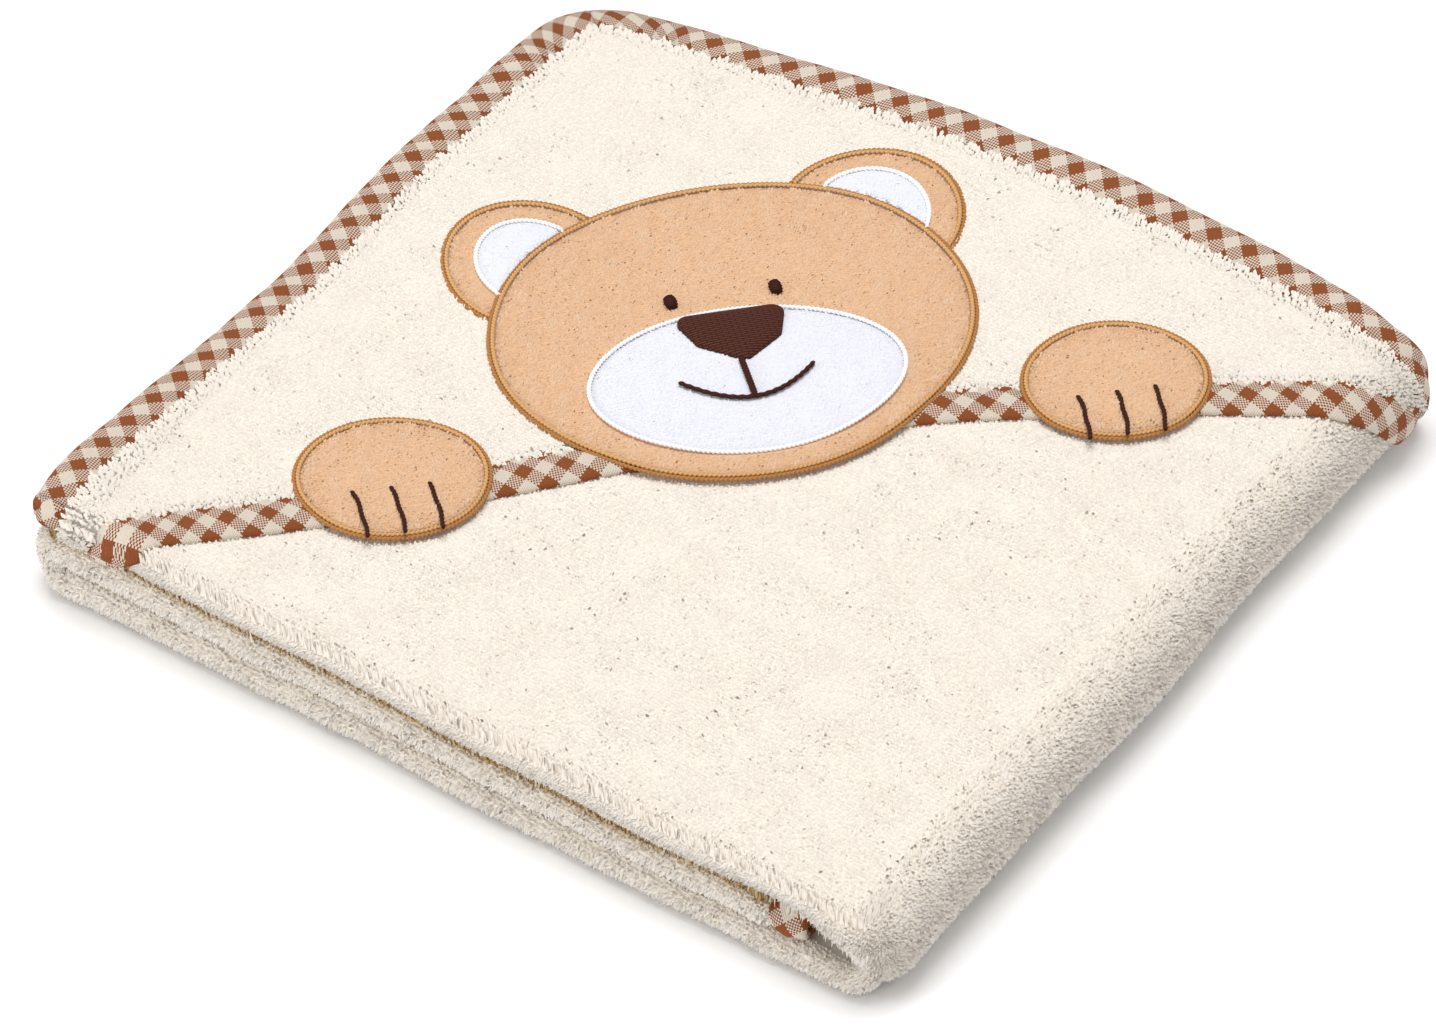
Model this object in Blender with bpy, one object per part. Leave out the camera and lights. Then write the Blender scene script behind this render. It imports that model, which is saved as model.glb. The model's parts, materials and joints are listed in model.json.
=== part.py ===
"""A hooded baby towel, folded in thirds both ways into a square packet, as separate named pieces.

Frame: +Z up, origin at the middle of the packet's underside. The hood's corner points to (-X, +Y).
The towel's cloth is folded twice. The first fold makes a strip of three layers, rolled up in the YZ
plane: an outer layer, a tucked middle layer and an inner layer. The second fold lays that strip in
thirds along X: bottom third, tucked third inside, top third with the hood. The rolled fold at +X is
what opens, like the spine of a book, so it is a body of its own between two hinges.
"""

import math

import bpy
import numpy as np

# Driving dimensions, in metres.
SIDE = 0.270  # side of the folded packet
LAYER = 0.0028  # one layer of terry, lightly pressed
GAP = 0.0003  # clearance between touching pieces
BINDING_WIDTH = 0.012  # visible width of the bias binding
TAPE = 0.00035  # thickness of the binding's cotton
TONGUE = 0.0015  # cloth edge squeezed inside the binding
TUCK = 0.016  # how far tucked edges stop short of the fold
HOOD = 0.0020  # hood panel
HOOD_TONGUE = 0.0008  # hood edge squeezed inside its bindings
HOOD_END = 0.008  # how far the hood is thinned where it meets the folds
PATCH = 0.0012  # plush patches of the head, ears and paws
SMALL_PATCH = 0.0006  # white patches on top of those
CORD = 0.0015  # height of the satin-stitched borders
CORD_WIDTH = 0.0024
THREAD = 0.0005  # height of embroidery
MITRE = math.radians(2.0)  # half the wedge left open between the three lengths of the rolled fold

# Sizes that follow from them.
PITCH = LAYER + GAP
STACK = 3 * LAYER + 2 * GAP
ROLL = (3 * STACK + 2 * GAP) / 2  # outer radius of the rolled fold
HALF = SIDE / 2
ROLL_X = HALF - ROLL  # centre of the rolled fold
TURN = (2 * STACK + GAP) / 2  # outer radius of the turn between the bottom and tucked thirds
TURN_X = -HALF + TURN
TUCKED_END = ROLL_X - 0.013  # bound end of the tucked third
LIP = STACK / 2  # outer radius of the strip's own fold at -Y
SLOT_END = LAYER / 2 + 0.0002  # how far the cloth stays back from the binding's rounded edge
TOP = 2 * ROLL  # upper face of the top third
HOOD_Z = TOP + GAP
EDGE_TOP = HOOD_Z + HOOD + 0.0001  # upper face of the bindings that hold the hood
TONGUE_Z = EDGE_TOP - TAPE - GAP - HOOD_TONGUE
PATCH_Z = EDGE_TOP + GAP
SMALL_Z = PATCH_Z + PATCH + GAP
FACE_Z = SMALL_Z + SMALL_PATCH + GAP
CLAW_Z = PATCH_Z + CORD + GAP
HEM_LOW = -0.016  # lower edge of the hood's hem, measured towards the hood's corner
HINGE_IN = math.cos(math.radians(45)) * 1.11 * ROLL  # hinge lines lie just outside the roll's skin
LOWER_HINGE = (ROLL_X + HINGE_IN, ROLL - HINGE_IN)
UPPER_HINGE = (ROLL_X + HINGE_IN, ROLL + HINGE_IN + 0.0024)

# The bear, in its own axes: u across the face and v towards the hood's corner.
FACE_TURN = math.radians(2.5)
HEAD = (0.0063, 0.0385, 0.0688, 0.0590)  # centre u, v and half-axes
HEAD_TURN = math.radians(14)
EAR_LEFT = (-0.0415, 0.0752, 0.0252, 0.0272)
EAR_RIGHT = (0.0562, 0.0806, 0.0252, 0.0272)
INNER_EAR = (0.0156, 0.0180)
MUZZLE = (0.0055, 0.0164, 0.0437, 0.0283)
PAW_LEFT = (-0.0919, -0.0040, 0.0258, 0.0228)
PAW_RIGHT = (0.1010, -0.0040, 0.0258, 0.0228)
EYE = (0.0019, 0.0034)
EYE_SPREAD = 0.0142
EYE_V = 0.0505

CREAM = (0.94, 0.88, 0.75)
GINGHAM = (0.62, 0.40, 0.26)
TAN = (0.73, 0.48, 0.26)
WHITE = (0.88, 0.88, 0.92)
GOLD = (0.66, 0.38, 0.14)
DARK = (0.05, 0.02, 0.015)


def clear_scene():
    for item in list(bpy.data.objects):
        bpy.data.objects.remove(item, do_unlink=True)


def material(name, colour, roughness):
    made = bpy.data.materials.new(name)
    made.use_nodes = True
    shader = made.node_tree.nodes["Principled BSDF"]
    shader.inputs["Base Color"].default_value = (*colour, 1.0)
    shader.inputs["Roughness"].default_value = roughness
    shader.inputs["Metallic"].default_value = 0.0
    made.diffuse_color = (*colour, 1.0)
    return made


def new_collection(name):
    made = bpy.data.collections.new(name)
    bpy.context.scene.collection.children.link(made)
    return made


def pivot(name, place, parent=None, turn=0.0):
    """An empty that carries pieces; its origin lies on their joint's axis."""
    made = bpy.data.objects.new(name, None)
    made.location = place
    made.rotation_euler = (0.0, 0.0, turn)
    COLLECTION.objects.link(made)
    if parent is not None:
        made.parent = parent
        made.location = np.array(place) - np.array(world_place(parent))
    return made


def world_place(item):
    place = np.zeros(3)
    while item is not None:
        place = place + np.array(item.location)
        item = item.parent
    return place


def finish(name, data, colour, roughness, parent):
    """Link a piece under its pivot, keeping where it is in the world."""
    made = bpy.data.objects.new(name, data)
    data.materials.append(material(name, colour, roughness))
    COLLECTION.objects.link(made)
    if parent is not None:
        made.parent = parent
        made.location = -world_place(parent)
    return made


# ---- cloth and tape: a ribbon-shaped section carried along a path ----------------------------


def arc(centre, radius, start, end, steps):
    """Points on a circle in a plane, from one angle to another, in degrees."""
    angle = np.radians(np.linspace(start, end, steps + 1))
    return np.stack([centre[0] + radius * np.cos(angle), centre[1] + radius * np.sin(angle)], axis=1)


def ribbon(line, half):
    """The two sides of a ribbon: its centreline pushed out by half its thickness each way."""
    along = np.gradient(line, axis=0)
    along /= np.linalg.norm(along, axis=1)[:, None]
    across = np.stack([-along[:, 1], along[:, 0]], axis=1) * np.reshape(half, (-1, 1))
    return line + across, line - across


def strip_path(first, last):
    """Stations (x, z, normal x, normal z) on the strip's outer face, by name of its stretch."""
    stations = []
    for name in STRETCHES[first : last + 1]:
        stations.extend(stretch(name))
    return np.array(stations)


def around(centre_x, centre_z, radius, start, end, steps):
    """Stations round a circle; the normal points away from its centre."""
    made = []
    for angle in np.radians(np.linspace(start, end, steps + 1)):
        normal = (math.cos(angle), math.sin(angle))
        made.append((centre_x + radius * normal[0], centre_z + radius * normal[1], *normal))
    return made


STRETCHES = ("top", "top_roll", "spine", "base_roll", "bottom", "turn", "tucked")


def stretch(name):
    gap = math.degrees(MITRE)
    if name == "top":
        return [(-HALF + SLOT_END, TOP, 0, 1), (ROLL_X - 0.0002, TOP, 0, 1)]
    if name == "top_roll":
        return around(ROLL_X, ROLL, ROLL, 90, 45 + gap, 4)
    if name == "spine":
        return around(ROLL_X, ROLL, ROLL, 45 - gap, -45 + gap, 6)
    if name == "base_roll":
        return around(ROLL_X, ROLL, ROLL, -45 - gap, -90, 4)
    if name == "bottom":
        return [(ROLL_X - 0.0002, 0, 0, -1), (TURN_X + 0.0002, 0, 0, -1)]
    if name == "turn":
        return around(TURN_X, TURN, TURN, 270, 90, 10)
    return [(TURN_X + 0.0002, 2 * TURN, 0, 1), (TUCKED_END - SLOT_END, 2 * TURN, 0, 1)]


def with_tongue(stations, at_start, at_end):
    """Add the two stations where a bound end narrows to its tongue; also say which ones are thin."""
    thin = np.zeros(len(stations), bool)
    rows = list(stations)
    step = BINDING_WIDTH + GAP - SLOT_END
    if at_start:
        inner = rows[0].copy()
        inner[0] += step
        full = inner.copy()
        full[0] += 0.0001
        rows[1:1] = [inner, full]
        thin = np.concatenate([[True, True, False], thin[1:]])
    if at_end:
        inner = rows[-1].copy()
        inner[0] -= step
        full = inner.copy()
        full[0] -= 0.0001
        rows[-1:-1] = [full, inner]
        thin = np.concatenate([thin[:-1], [False, True, True]])
    return np.array(rows), thin


def strip_line():
    """Centreline (y, height) of the three layers and how near each point is to a bound edge."""
    outer, inner, tucked = STACK - LAYER / 2, LAYER / 2, STACK / 2
    fold_y = HALF - LAYER / 2 - PITCH / 2
    step = BINDING_WIDTH + GAP
    start_y, end_y = HALF - SLOT_END, -HALF + TUCK + SLOT_END
    head = [(start_y, outer), (HALF - step, outer), (HALF - step - 0.0001, outer)]
    lip = arc((-HALF + LIP, STACK / 2), (outer - inner) / 2, 90, 270, 8)
    back = arc((fold_y, (inner + tucked) / 2), PITCH / 2, -90, 90, 6)
    tail = [(-HALF + TUCK + step + 0.0001, tucked), (-HALF + TUCK + step, tucked), (end_y, tucked)]
    line = np.concatenate([head, lip, back, tail])
    thin = np.zeros(len(line), bool)
    thin[:2] = True
    thin[-2:] = True
    return line, thin


def carry(sides, stations):
    """Points of both sides of a section (y, height) at every station of the strip's path."""
    grids = []
    for side in sides:
        y, height = side[..., 0], side[..., 1] - STACK
        x = stations[:, None, 0] + stations[:, None, 2] * height
        z = stations[:, None, 1] + stations[:, None, 3] * height
        grids.append(np.stack([x, np.broadcast_to(y, x.shape), z], axis=-1))
    return grids


def ribbon_mesh(name, left, right):
    """A closed body from the grids of its two sides: two skins, two edges and two ends."""
    rows, columns = left.shape[:2]
    index = np.arange(rows * columns).reshape(rows, columns)
    far = index + rows * columns
    faces = []

    def wall(a, b):
        """Quads between two rows of point numbers."""
        faces.extend(np.stack([a[:-1], a[1:], b[1:], b[:-1]], axis=-1).reshape(-1, 4).tolist())

    for row in range(rows - 1):
        wall(index[row], index[row + 1])
        wall(far[row + 1], far[row])
    wall(index[:, 0], far[:, 0])
    wall(far[:, -1], index[:, -1])
    wall(far[0], index[0])
    wall(index[-1], far[-1])
    mesh = bpy.data.meshes.new(name)
    mesh.from_pydata(np.concatenate([left.reshape(-1, 3), right.reshape(-1, 3)]).tolist(), [], faces)
    if volume(mesh) < 0:
        mesh.flip_normals()
    mesh.shade_smooth()
    mesh.set_sharp_from_angle(angle=math.radians(35))
    return mesh


def volume(mesh):
    """Signed volume of a closed mesh: negative where its faces point inwards."""
    mesh.calc_loop_triangles()
    total = 0.0
    for triangle in mesh.loop_triangles:
        a, b, c = (mesh.vertices[i].co for i in triangle.vertices)
        total += a.dot(b.cross(c)) / 6
    return total


def cloth(name, first, last, parent, start_bound=False, end_bound=False):
    """One length of the strip of terry, with thin tongues where a binding takes its edges."""
    stations, thin_rows = with_tongue(strip_path(first, last), start_bound, end_bound)
    line, thin_points = strip_line()
    half = np.where(thin_rows[:, None] | thin_points[None, :], TONGUE / 2, LAYER / 2)
    sides = [ribbon(line, row) for row in half]
    left = np.array([side[0] for side in sides])
    right = np.array([side[1] for side in sides])
    finish(name, ribbon_mesh(name, *carry((left, right), stations)), CREAM, 0.95, parent)


def tape_section(low, high):
    """Centreline of a tape folded over an edge at 0: along one face, round the edge and back."""
    radius = LAYER / 3
    middle = -TAPE / 2 - radius
    lower = arc((middle, low + radius), radius, -90, 0, 2)
    upper = arc((middle, high - radius), radius, 0, 90, 2)
    return np.concatenate([[(-BINDING_WIDTH, low)], lower, upper, [(-BINDING_WIDTH, high)]])


def long_binding(name, first, last, parent, tucked=False, raised=False, from_end=False, to_end=False):
    """Binding along a long edge of the strip: the outer layer's at +Y, or the tucked layer's."""
    middle = STACK / 2 if tucked else STACK - LAYER / 2
    low = middle - LAYER / 2 + TAPE / 2
    high = EDGE_TOP - TOP + STACK - TAPE / 2 if raised else middle + LAYER / 2 - TAPE / 2
    section = tape_section(low, high)
    if tucked:
        section[:, 0] = -HALF + TUCK - section[:, 0]
    else:
        section[:, 0] += HALF
    stations = strip_path(first, last)
    if from_end:
        stations[0, 0] -= SLOT_END
    if to_end:
        stations[-1, 0] += SLOT_END
    left, right = ribbon(section, TAPE / 2)
    finish(name, ribbon_mesh(name, *carry((left, right), stations)), GINGHAM, 0.85, parent)


def end_binding(name, line, end_x, outward, base_z, parent, raised=0.0):
    """Binding over a short end of the strip, following its layers in the YZ plane."""
    radius = LAYER / 2 - TAPE / 2
    section = tape_section(-radius, radius + raised)
    across = np.gradient(line, axis=0)
    across /= np.linalg.norm(across, axis=1)[:, None]
    normal = np.stack([-across[:, 1], across[:, 0]], axis=1)
    if raised:
        normal = np.tile([0.0, 1.0], (len(line), 1))
    grids = []
    for side in ribbon(section, TAPE / 2):
        x = end_x + outward * side[:, 0]
        yz = line[:, None, :] + normal[:, None, :] * side[None, :, 1, None]
        grid = np.stack([np.broadcast_to(x, yz.shape[:2]), yz[..., 0], yz[..., 1] + base_z], axis=-1)
        grids.append(grid)
    finish(name, ribbon_mesh(name, *grids), GINGHAM, 0.85, parent)


def towel(spine, top):
    """The terry square: three lengths of the folded strip, one for each body."""
    cloth("towel_base_cloth", 3, 6, None, end_bound=True)
    cloth("towel_spine_cloth", 2, 2, spine)
    cloth("towel_top_cloth", 0, 1, top, start_bound=True)


def towel_bindings(spine, top):
    """The gingham tape round the towel's four edges, in lengths that meet at folds and corners."""
    long_binding("base_edge_binding", 3, 6, None, to_end=True)
    long_binding("base_tucked_binding", 3, 6, None, tucked=True, to_end=True)
    long_binding("spine_edge_binding", 2, 2, spine)
    long_binding("spine_tucked_binding", 2, 2, spine, tucked=True)
    long_binding("top_roll_binding", 1, 1, top)
    long_binding("top_tucked_binding", 0, 1, top, tucked=True, from_end=True)
    long_binding("hood_right_binding", 0, 0, top, raised=True, from_end=True)
    line, _ = strip_line()
    layers = line[2:-2].copy()
    layers[0, 0] = HALF - BINDING_WIDTH - GAP
    layers[-1, 0] = -HALF + TUCK + BINDING_WIDTH + GAP
    end_binding("base_end_binding", layers, TUCKED_END, 1, 2 * TURN - STACK, None)
    straight = np.linspace(layers[0], (-HALF + LIP + GAP, layers[0, 1]), 2)
    raise_by = EDGE_TOP - TOP
    end_binding("hood_left_binding", straight, -HALF, -1, TOP - STACK, top, raised=raise_by)
    end_binding("top_end_binding", layers[1:], -HALF, -1, TOP - STACK, top)


# ---- flat pieces: hood, patches and embroidery ------------------------------------------------


def turned(points, angle, centre=(0.0, 0.0)):
    """Points turned about a centre."""
    points = np.asarray(points, float) - centre
    c, s = math.cos(angle), math.sin(angle)
    return points @ np.array([[c, s], [-s, c]]) + centre


def ellipse(shape, grow=0.0, steps=40, turn=0.0):
    """Outline of an ellipse given by centre and half-axes, made larger all round by grow."""
    angle = np.linspace(0, 2 * math.pi, steps, endpoint=False)
    points = np.stack([(shape[2] + grow) * np.cos(angle), (shape[3] + grow) * np.sin(angle)], axis=1)
    return turned(points, turn) + np.array(shape[:2])


def inside(points, shape, grow=0.0, turn=0.0):
    """Whether points lie within an ellipse."""
    local = turned(np.asarray(points) - shape[:2], -turn)
    return (local[:, 0] / (shape[2] + grow)) ** 2 + (local[:, 1] / (shape[3] + grow)) ** 2 < 1


def rounded(corners, radius, steps=6):
    """A convex polygon, given anticlockwise, with every corner turned into an arc."""
    corners = np.asarray(corners, float)
    outline = []
    for before, corner, after in zip(np.roll(corners, 1, 0), corners, np.roll(corners, -1, 0)):
        towards = (before - corner) / np.linalg.norm(before - corner)
        away = (after - corner) / np.linalg.norm(after - corner)
        half_angle = math.acos(np.clip(towards @ away, -1, 1)) / 2
        middle = (towards + away) / np.linalg.norm(towards + away)
        centre = corner + middle * radius / math.sin(half_angle)
        first = corner + towards * radius / math.tan(half_angle) - centre
        sweep = math.pi - 2 * half_angle
        outline.extend(centre + turned([first], a)[0] for a in np.linspace(0, sweep, steps))
    return np.array(outline)


def stroke(line, width):
    """Outline of a line of satin stitch: its centreline widened, with blunt ends."""
    left, right = ribbon(np.asarray(line, float), width / 2)
    return np.concatenate([right, left[::-1]])


def flat_piece(name, outlines, low, thick, colour, roughness, parent):
    """A flat curve with its holes, filled and extruded between two heights."""
    data = bpy.data.curves.new(name, "CURVE")
    data.dimensions = "2D"
    data.fill_mode = "BOTH"
    data.extrude = thick / 2
    for outline in outlines:
        spline = data.splines.new("POLY")
        spline.points.add(len(outline) - 1)
        spline.use_cyclic_u = True
        for point, place in zip(spline.points, outline):
            point.co = (place[0], place[1], 0.0, 1.0)
    made = finish(name, data, colour, roughness, parent)
    made.location.z += low + thick / 2
    return made


def inset_polygon(lines):
    """Corners of the polygon inside lines given as (direction, distance): direction . p <= distance."""
    corners = []
    for (a, d), (b, e) in zip(lines, lines[1:] + lines[:1]):
        corners.append(np.linalg.solve(np.array([a, b]), np.array([d, e])))
    return np.array(corners)


def hood_outline(bound, open_end):
    """The hood's five sides: three set back from bound edges, two from the ends at the folds."""
    slope = math.sqrt(0.5)
    return inset_polygon(
        [
            ((slope, -slope), -HEM_LOW - bound),
            ((1.0, 0.0), ROLL_X - open_end),
            ((0.0, 1.0), HALF - bound),
            ((-1.0, 0.0), HALF - bound),
            ((0.0, -1.0), HALF - LIP - open_end),
        ]
    )


def hood(top):
    """The hood's triangle of terry: full thickness inside, thin tongues within its bindings."""
    full = hood_outline(SLOT_END, GAP)
    body = hood_outline(BINDING_WIDTH + GAP, HOOD_END)
    tongue_top = TONGUE_Z + HOOD_TONGUE
    levels = [(body, HOOD_Z), (body, TONGUE_Z), (full, TONGUE_Z), (full, tongue_top), (body, tongue_top)]
    levels.append((body, HOOD_Z + HOOD))
    points = np.concatenate([np.column_stack([o, np.full(len(o), z)]) for o, z in levels])
    count = len(full)
    faces = [list(range(count))[::-1], list(range(count * 5, count * 6))]
    for level in range(len(levels) - 1):
        for i in range(count):
            j = (i + 1) % count
            low, high = level * count, (level + 1) * count
            faces.append([low + i, low + j, high + j, high + i])
    mesh = bpy.data.meshes.new("hood_panel")
    mesh.from_pydata(points.tolist(), [], faces)
    finish("hood_panel", mesh, CREAM, 0.95, top)


def hood_hem(top):
    """The gingham tape folded over the hood's hem, straight from side to side."""
    low = HOOD_Z + TAPE / 2
    section = tape_section(low, EDGE_TOP - TAPE / 2)
    slope = math.sqrt(0.5)
    first = (-HALF + LIP) / slope - HEM_LOW
    last = (ROLL_X - GAP) / slope + HEM_LOW
    grids = []
    for side in ribbon(section, TAPE / 2):
        v = HEM_LOW - side[:, 0]
        u = np.array([[first], [last]])
        x, y = (u - v) * slope, (u + v) * slope
        grids.append(np.stack([x, y, np.broadcast_to(side[:, 1], x.shape)], axis=-1))
    finish("hood_hem_binding", ribbon_mesh("hood_hem_binding", *grids), GINGHAM, 0.85, top)


def ear_ring(shape, outer, inner):
    """A band along an ear's edge, from the head's border round to the head's border again."""
    angle = np.linspace(-math.pi, math.pi, 64, endpoint=False)
    middle = math.atan2(shape[1] - HEAD[1], shape[0] - HEAD[0])
    angle = np.sort((angle - middle + math.pi) % (2 * math.pi) - math.pi) + middle
    rows = []
    for grow in (outer, inner):
        unit = np.stack([(shape[2] + grow) * np.cos(angle), (shape[3] + grow) * np.sin(angle)], axis=1)
        points = unit + np.array(shape[:2])
        rows.append(points[~inside(points, HEAD, 2 * GAP, HEAD_TURN)])
    return np.concatenate([rows[0], rows[1][::-1]])


def beyond_head(shape, grow):
    """An ellipse's outline where it stands clear of the head, closed along the head's edge."""
    angle = np.linspace(-math.pi, math.pi, 64, endpoint=False)
    middle = math.atan2(shape[1] - HEAD[1], shape[0] - HEAD[0])
    angle = np.sort((angle - middle + math.pi) % (2 * math.pi) - math.pi) + middle
    rim = np.stack([(shape[2] + grow) * np.cos(angle), (shape[3] + grow) * np.sin(angle)], axis=1)
    rim = rim + np.array(shape[:2])
    rim = rim[~inside(rim, HEAD, 2 * GAP, HEAD_TURN)]
    edge = ellipse(HEAD, 2 * GAP, 80, HEAD_TURN)
    edge = edge[inside(edge, shape, grow)]
    from_end = np.linalg.norm(edge - rim[-1], axis=1)
    order = np.argsort(from_end)
    return np.concatenate([rim, edge[order]])


def face(outline):
    """Turn a shape with the face, about the head's centre."""
    return turned(outline, FACE_TURN, HEAD[:2])


def ears(bear):
    for side, shape in (("left", EAR_LEFT), ("right", EAR_RIGHT)):
        patch = beyond_head(shape, -CORD_WIDTH - GAP)
        flat_piece("ear_" + side, [patch], PATCH_Z, PATCH, TAN, 0.9, bear)
        band = ear_ring(shape, 0.0, -CORD_WIDTH)
        flat_piece("ear_border_" + side, [band], PATCH_Z, CORD, GOLD, 0.6, bear)
        inner = (shape[0], shape[1], *INNER_EAR)
        flat_piece("inner_ear_" + side, [beyond_head(inner, 0.0)], SMALL_Z, SMALL_PATCH, WHITE, 0.9, bear)


def ring(name, shape, turn, low, thick, width, colour, parent):
    """A satin-stitched border lying just inside a shape's edge."""
    outlines = [ellipse(shape, 0.0, turn=turn), ellipse(shape, -width, turn=turn)]
    flat_piece(name, outlines, low, thick, colour, 0.6, parent)


def head(bear):
    patch = ellipse(HEAD, -CORD_WIDTH - GAP, turn=HEAD_TURN)
    flat_piece("head_patch", [patch], PATCH_Z, PATCH, TAN, 0.9, bear)
    ring("head_border", HEAD, HEAD_TURN, PATCH_Z, CORD, CORD_WIDTH, GOLD, bear)
    width = 0.0014
    inner = ellipse(MUZZLE, -width - GAP, turn=FACE_TURN)
    flat_piece("muzzle_patch", [inner], SMALL_Z, SMALL_PATCH, WHITE, 0.9, bear)
    ring("muzzle_border", MUZZLE, FACE_TURN, SMALL_Z, SMALL_PATCH + 0.0002, width, WHITE, bear)


def features(bear):
    """The embroidery of the face: nose, eyes, the line under the nose and the smile."""
    centre = HEAD[0]
    nose = rounded(
        [(centre - 0.0175, 0.0452), (centre, 0.0215), (centre + 0.0175, 0.0452)],
        0.0042,
    )
    raised = FACE_Z + 0.0002
    flat_piece("nose", [face(nose)], raised, THREAD, DARK, 0.5, bear)
    for side, name in ((-1, "eye_left"), (1, "eye_right")):
        eye = ellipse((centre + side * EYE_SPREAD, EYE_V, *EYE), steps=16)
        flat_piece(name, [face(eye)], SMALL_Z, THREAD, DARK, 0.5, bear)
    line = [(centre, 0.0241), (centre, 0.0079)]
    flat_piece("philtrum", [face(stroke(line, 0.0014))], raised, THREAD, DARK, 0.5, bear)
    across = np.linspace(-0.0182, 0.0182, 11)
    smile = np.stack([centre + across, 0.0070 + 0.0084 * (across / 0.0182) ** 2], axis=1)
    flat_piece("mouth", [face(stroke(smile, 0.0012))], raised, THREAD, DARK, 0.5, bear)


def paws(bear):
    for side, shape, lean in (("left", PAW_LEFT, 0.04), ("right", PAW_RIGHT, 0.14)):
        patch = ellipse(shape, -CORD_WIDTH - GAP)
        flat_piece("paw_" + side, [patch], PATCH_Z, PATCH, TAN, 0.9, bear)
        ring("paw_border_" + side, shape, 0.0, PATCH_Z, CORD, CORD_WIDTH, GOLD, bear)
        for number in (-1, 0, 1):
            u = shape[0] + number * 0.0100
            claw = [(u, shape[1] - 0.0055), (u - lean * 0.0165, shape[1] - 0.0220)]
            name = "claw_" + side + "_" + str(number + 2)
            flat_piece(name, [stroke(claw, 0.0013)], CLAW_Z, THREAD, DARK, 0.5, bear)


clear_scene()
COLLECTION = new_collection("hooded_baby_towel")
SPINE_AXIS = pivot("spine_axis", (LOWER_HINGE[0], 0.0, LOWER_HINGE[1]))
TOP_AXIS = pivot("top_axis", (UPPER_HINGE[0], 0.0, UPPER_HINGE[1]), SPINE_AXIS)
BEAR = pivot("bear_frame", (0.0, 0.0, 0.0), TOP_AXIS, math.radians(45))
towel(SPINE_AXIS, TOP_AXIS)
towel_bindings(SPINE_AXIS, TOP_AXIS)
hood(TOP_AXIS)
hood_hem(TOP_AXIS)
ears(BEAR)
head(BEAR)
features(BEAR)
paws(BEAR)
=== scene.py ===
"""Looks of a hooded baby towel, folded in thirds both ways into a square packet.

Everything is drawn in the flat coordinates of the folded strip's outer face: s runs across the packet
and t up it, both in metres, and equal X and Y on the top face. place() carries them round the folds,
and settle() gives the packet the soft, slightly crooked lie of real cloth.
"""

import json
import math

import bpy
import numpy as np
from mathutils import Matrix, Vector

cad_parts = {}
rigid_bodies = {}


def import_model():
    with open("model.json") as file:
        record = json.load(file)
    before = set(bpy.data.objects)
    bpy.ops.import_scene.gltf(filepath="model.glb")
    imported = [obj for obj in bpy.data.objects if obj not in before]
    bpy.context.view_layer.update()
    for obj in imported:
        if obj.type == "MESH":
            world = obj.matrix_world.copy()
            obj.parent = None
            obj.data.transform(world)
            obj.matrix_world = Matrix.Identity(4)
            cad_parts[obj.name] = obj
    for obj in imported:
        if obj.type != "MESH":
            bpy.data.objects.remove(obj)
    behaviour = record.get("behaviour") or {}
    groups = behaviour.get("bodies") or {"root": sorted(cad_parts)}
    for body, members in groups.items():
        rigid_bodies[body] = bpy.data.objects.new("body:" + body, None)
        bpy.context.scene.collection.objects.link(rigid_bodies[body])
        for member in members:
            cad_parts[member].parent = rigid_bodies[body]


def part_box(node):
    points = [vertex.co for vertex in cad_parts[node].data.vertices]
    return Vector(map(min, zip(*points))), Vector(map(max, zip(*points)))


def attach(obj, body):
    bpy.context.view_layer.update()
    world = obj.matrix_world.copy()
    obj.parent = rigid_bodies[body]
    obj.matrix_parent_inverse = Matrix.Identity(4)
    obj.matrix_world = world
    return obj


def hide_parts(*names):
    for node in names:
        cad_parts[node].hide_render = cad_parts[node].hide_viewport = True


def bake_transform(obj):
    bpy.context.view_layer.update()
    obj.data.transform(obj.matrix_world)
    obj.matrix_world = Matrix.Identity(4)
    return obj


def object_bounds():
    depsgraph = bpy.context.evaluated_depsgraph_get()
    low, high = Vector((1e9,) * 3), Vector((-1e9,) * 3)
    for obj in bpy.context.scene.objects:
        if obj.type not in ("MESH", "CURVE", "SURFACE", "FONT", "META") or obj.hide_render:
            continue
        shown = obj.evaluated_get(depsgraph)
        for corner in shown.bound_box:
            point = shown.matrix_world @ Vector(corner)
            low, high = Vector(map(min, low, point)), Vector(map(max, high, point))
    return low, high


bl_info = {
    "name": "Hooded Baby Towel",
    "version": (1, 0, 0),
    "blender": (4, 5, 0),
    "location": "View3D > Sidebar > Towel",
    "description": "Builds a folded hooded baby towel piece by piece",
    "category": "Object",
}

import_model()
CAD_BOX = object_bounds()

# Fold geometry, read from the CAD or fixed by how the cloth is folded.
HALF = -CAD_BOX[0].x
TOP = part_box("towel_top_cloth")[1].z
LAYER = 0.0028
GAP = 0.0003
PITCH = LAYER + GAP
STACK = 3 * LAYER + 2 * GAP
ROLL = TOP / 2  # outer radius of the rolled fold at +X
ROLL_X = HALF - ROLL
TURN = (2 * STACK + GAP) / 2  # outer radius of the turn at -X
TURN_X = -HALF + TURN
TUCKED_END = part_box("base_end_binding")[1].x
LIP = STACK / 2  # outer radius of the strip's own fold at -Y
LIP_Y = -HALF + LIP
BACK_Y = HALF - LAYER / 2 - PITCH / 2  # centre of the small fold at +Y
BACK = (PITCH + LAYER) / 2
BACK_H = (STACK - PITCH) / 2
TUCK_Y = -HALF + 0.016
TAPE_GRIP = 0.0016  # how far the cloth stops short of the fold of the tape round its edge
TOP_SPLIT = 0.045  # s at which the top face's pile is divided into two pieces

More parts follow.
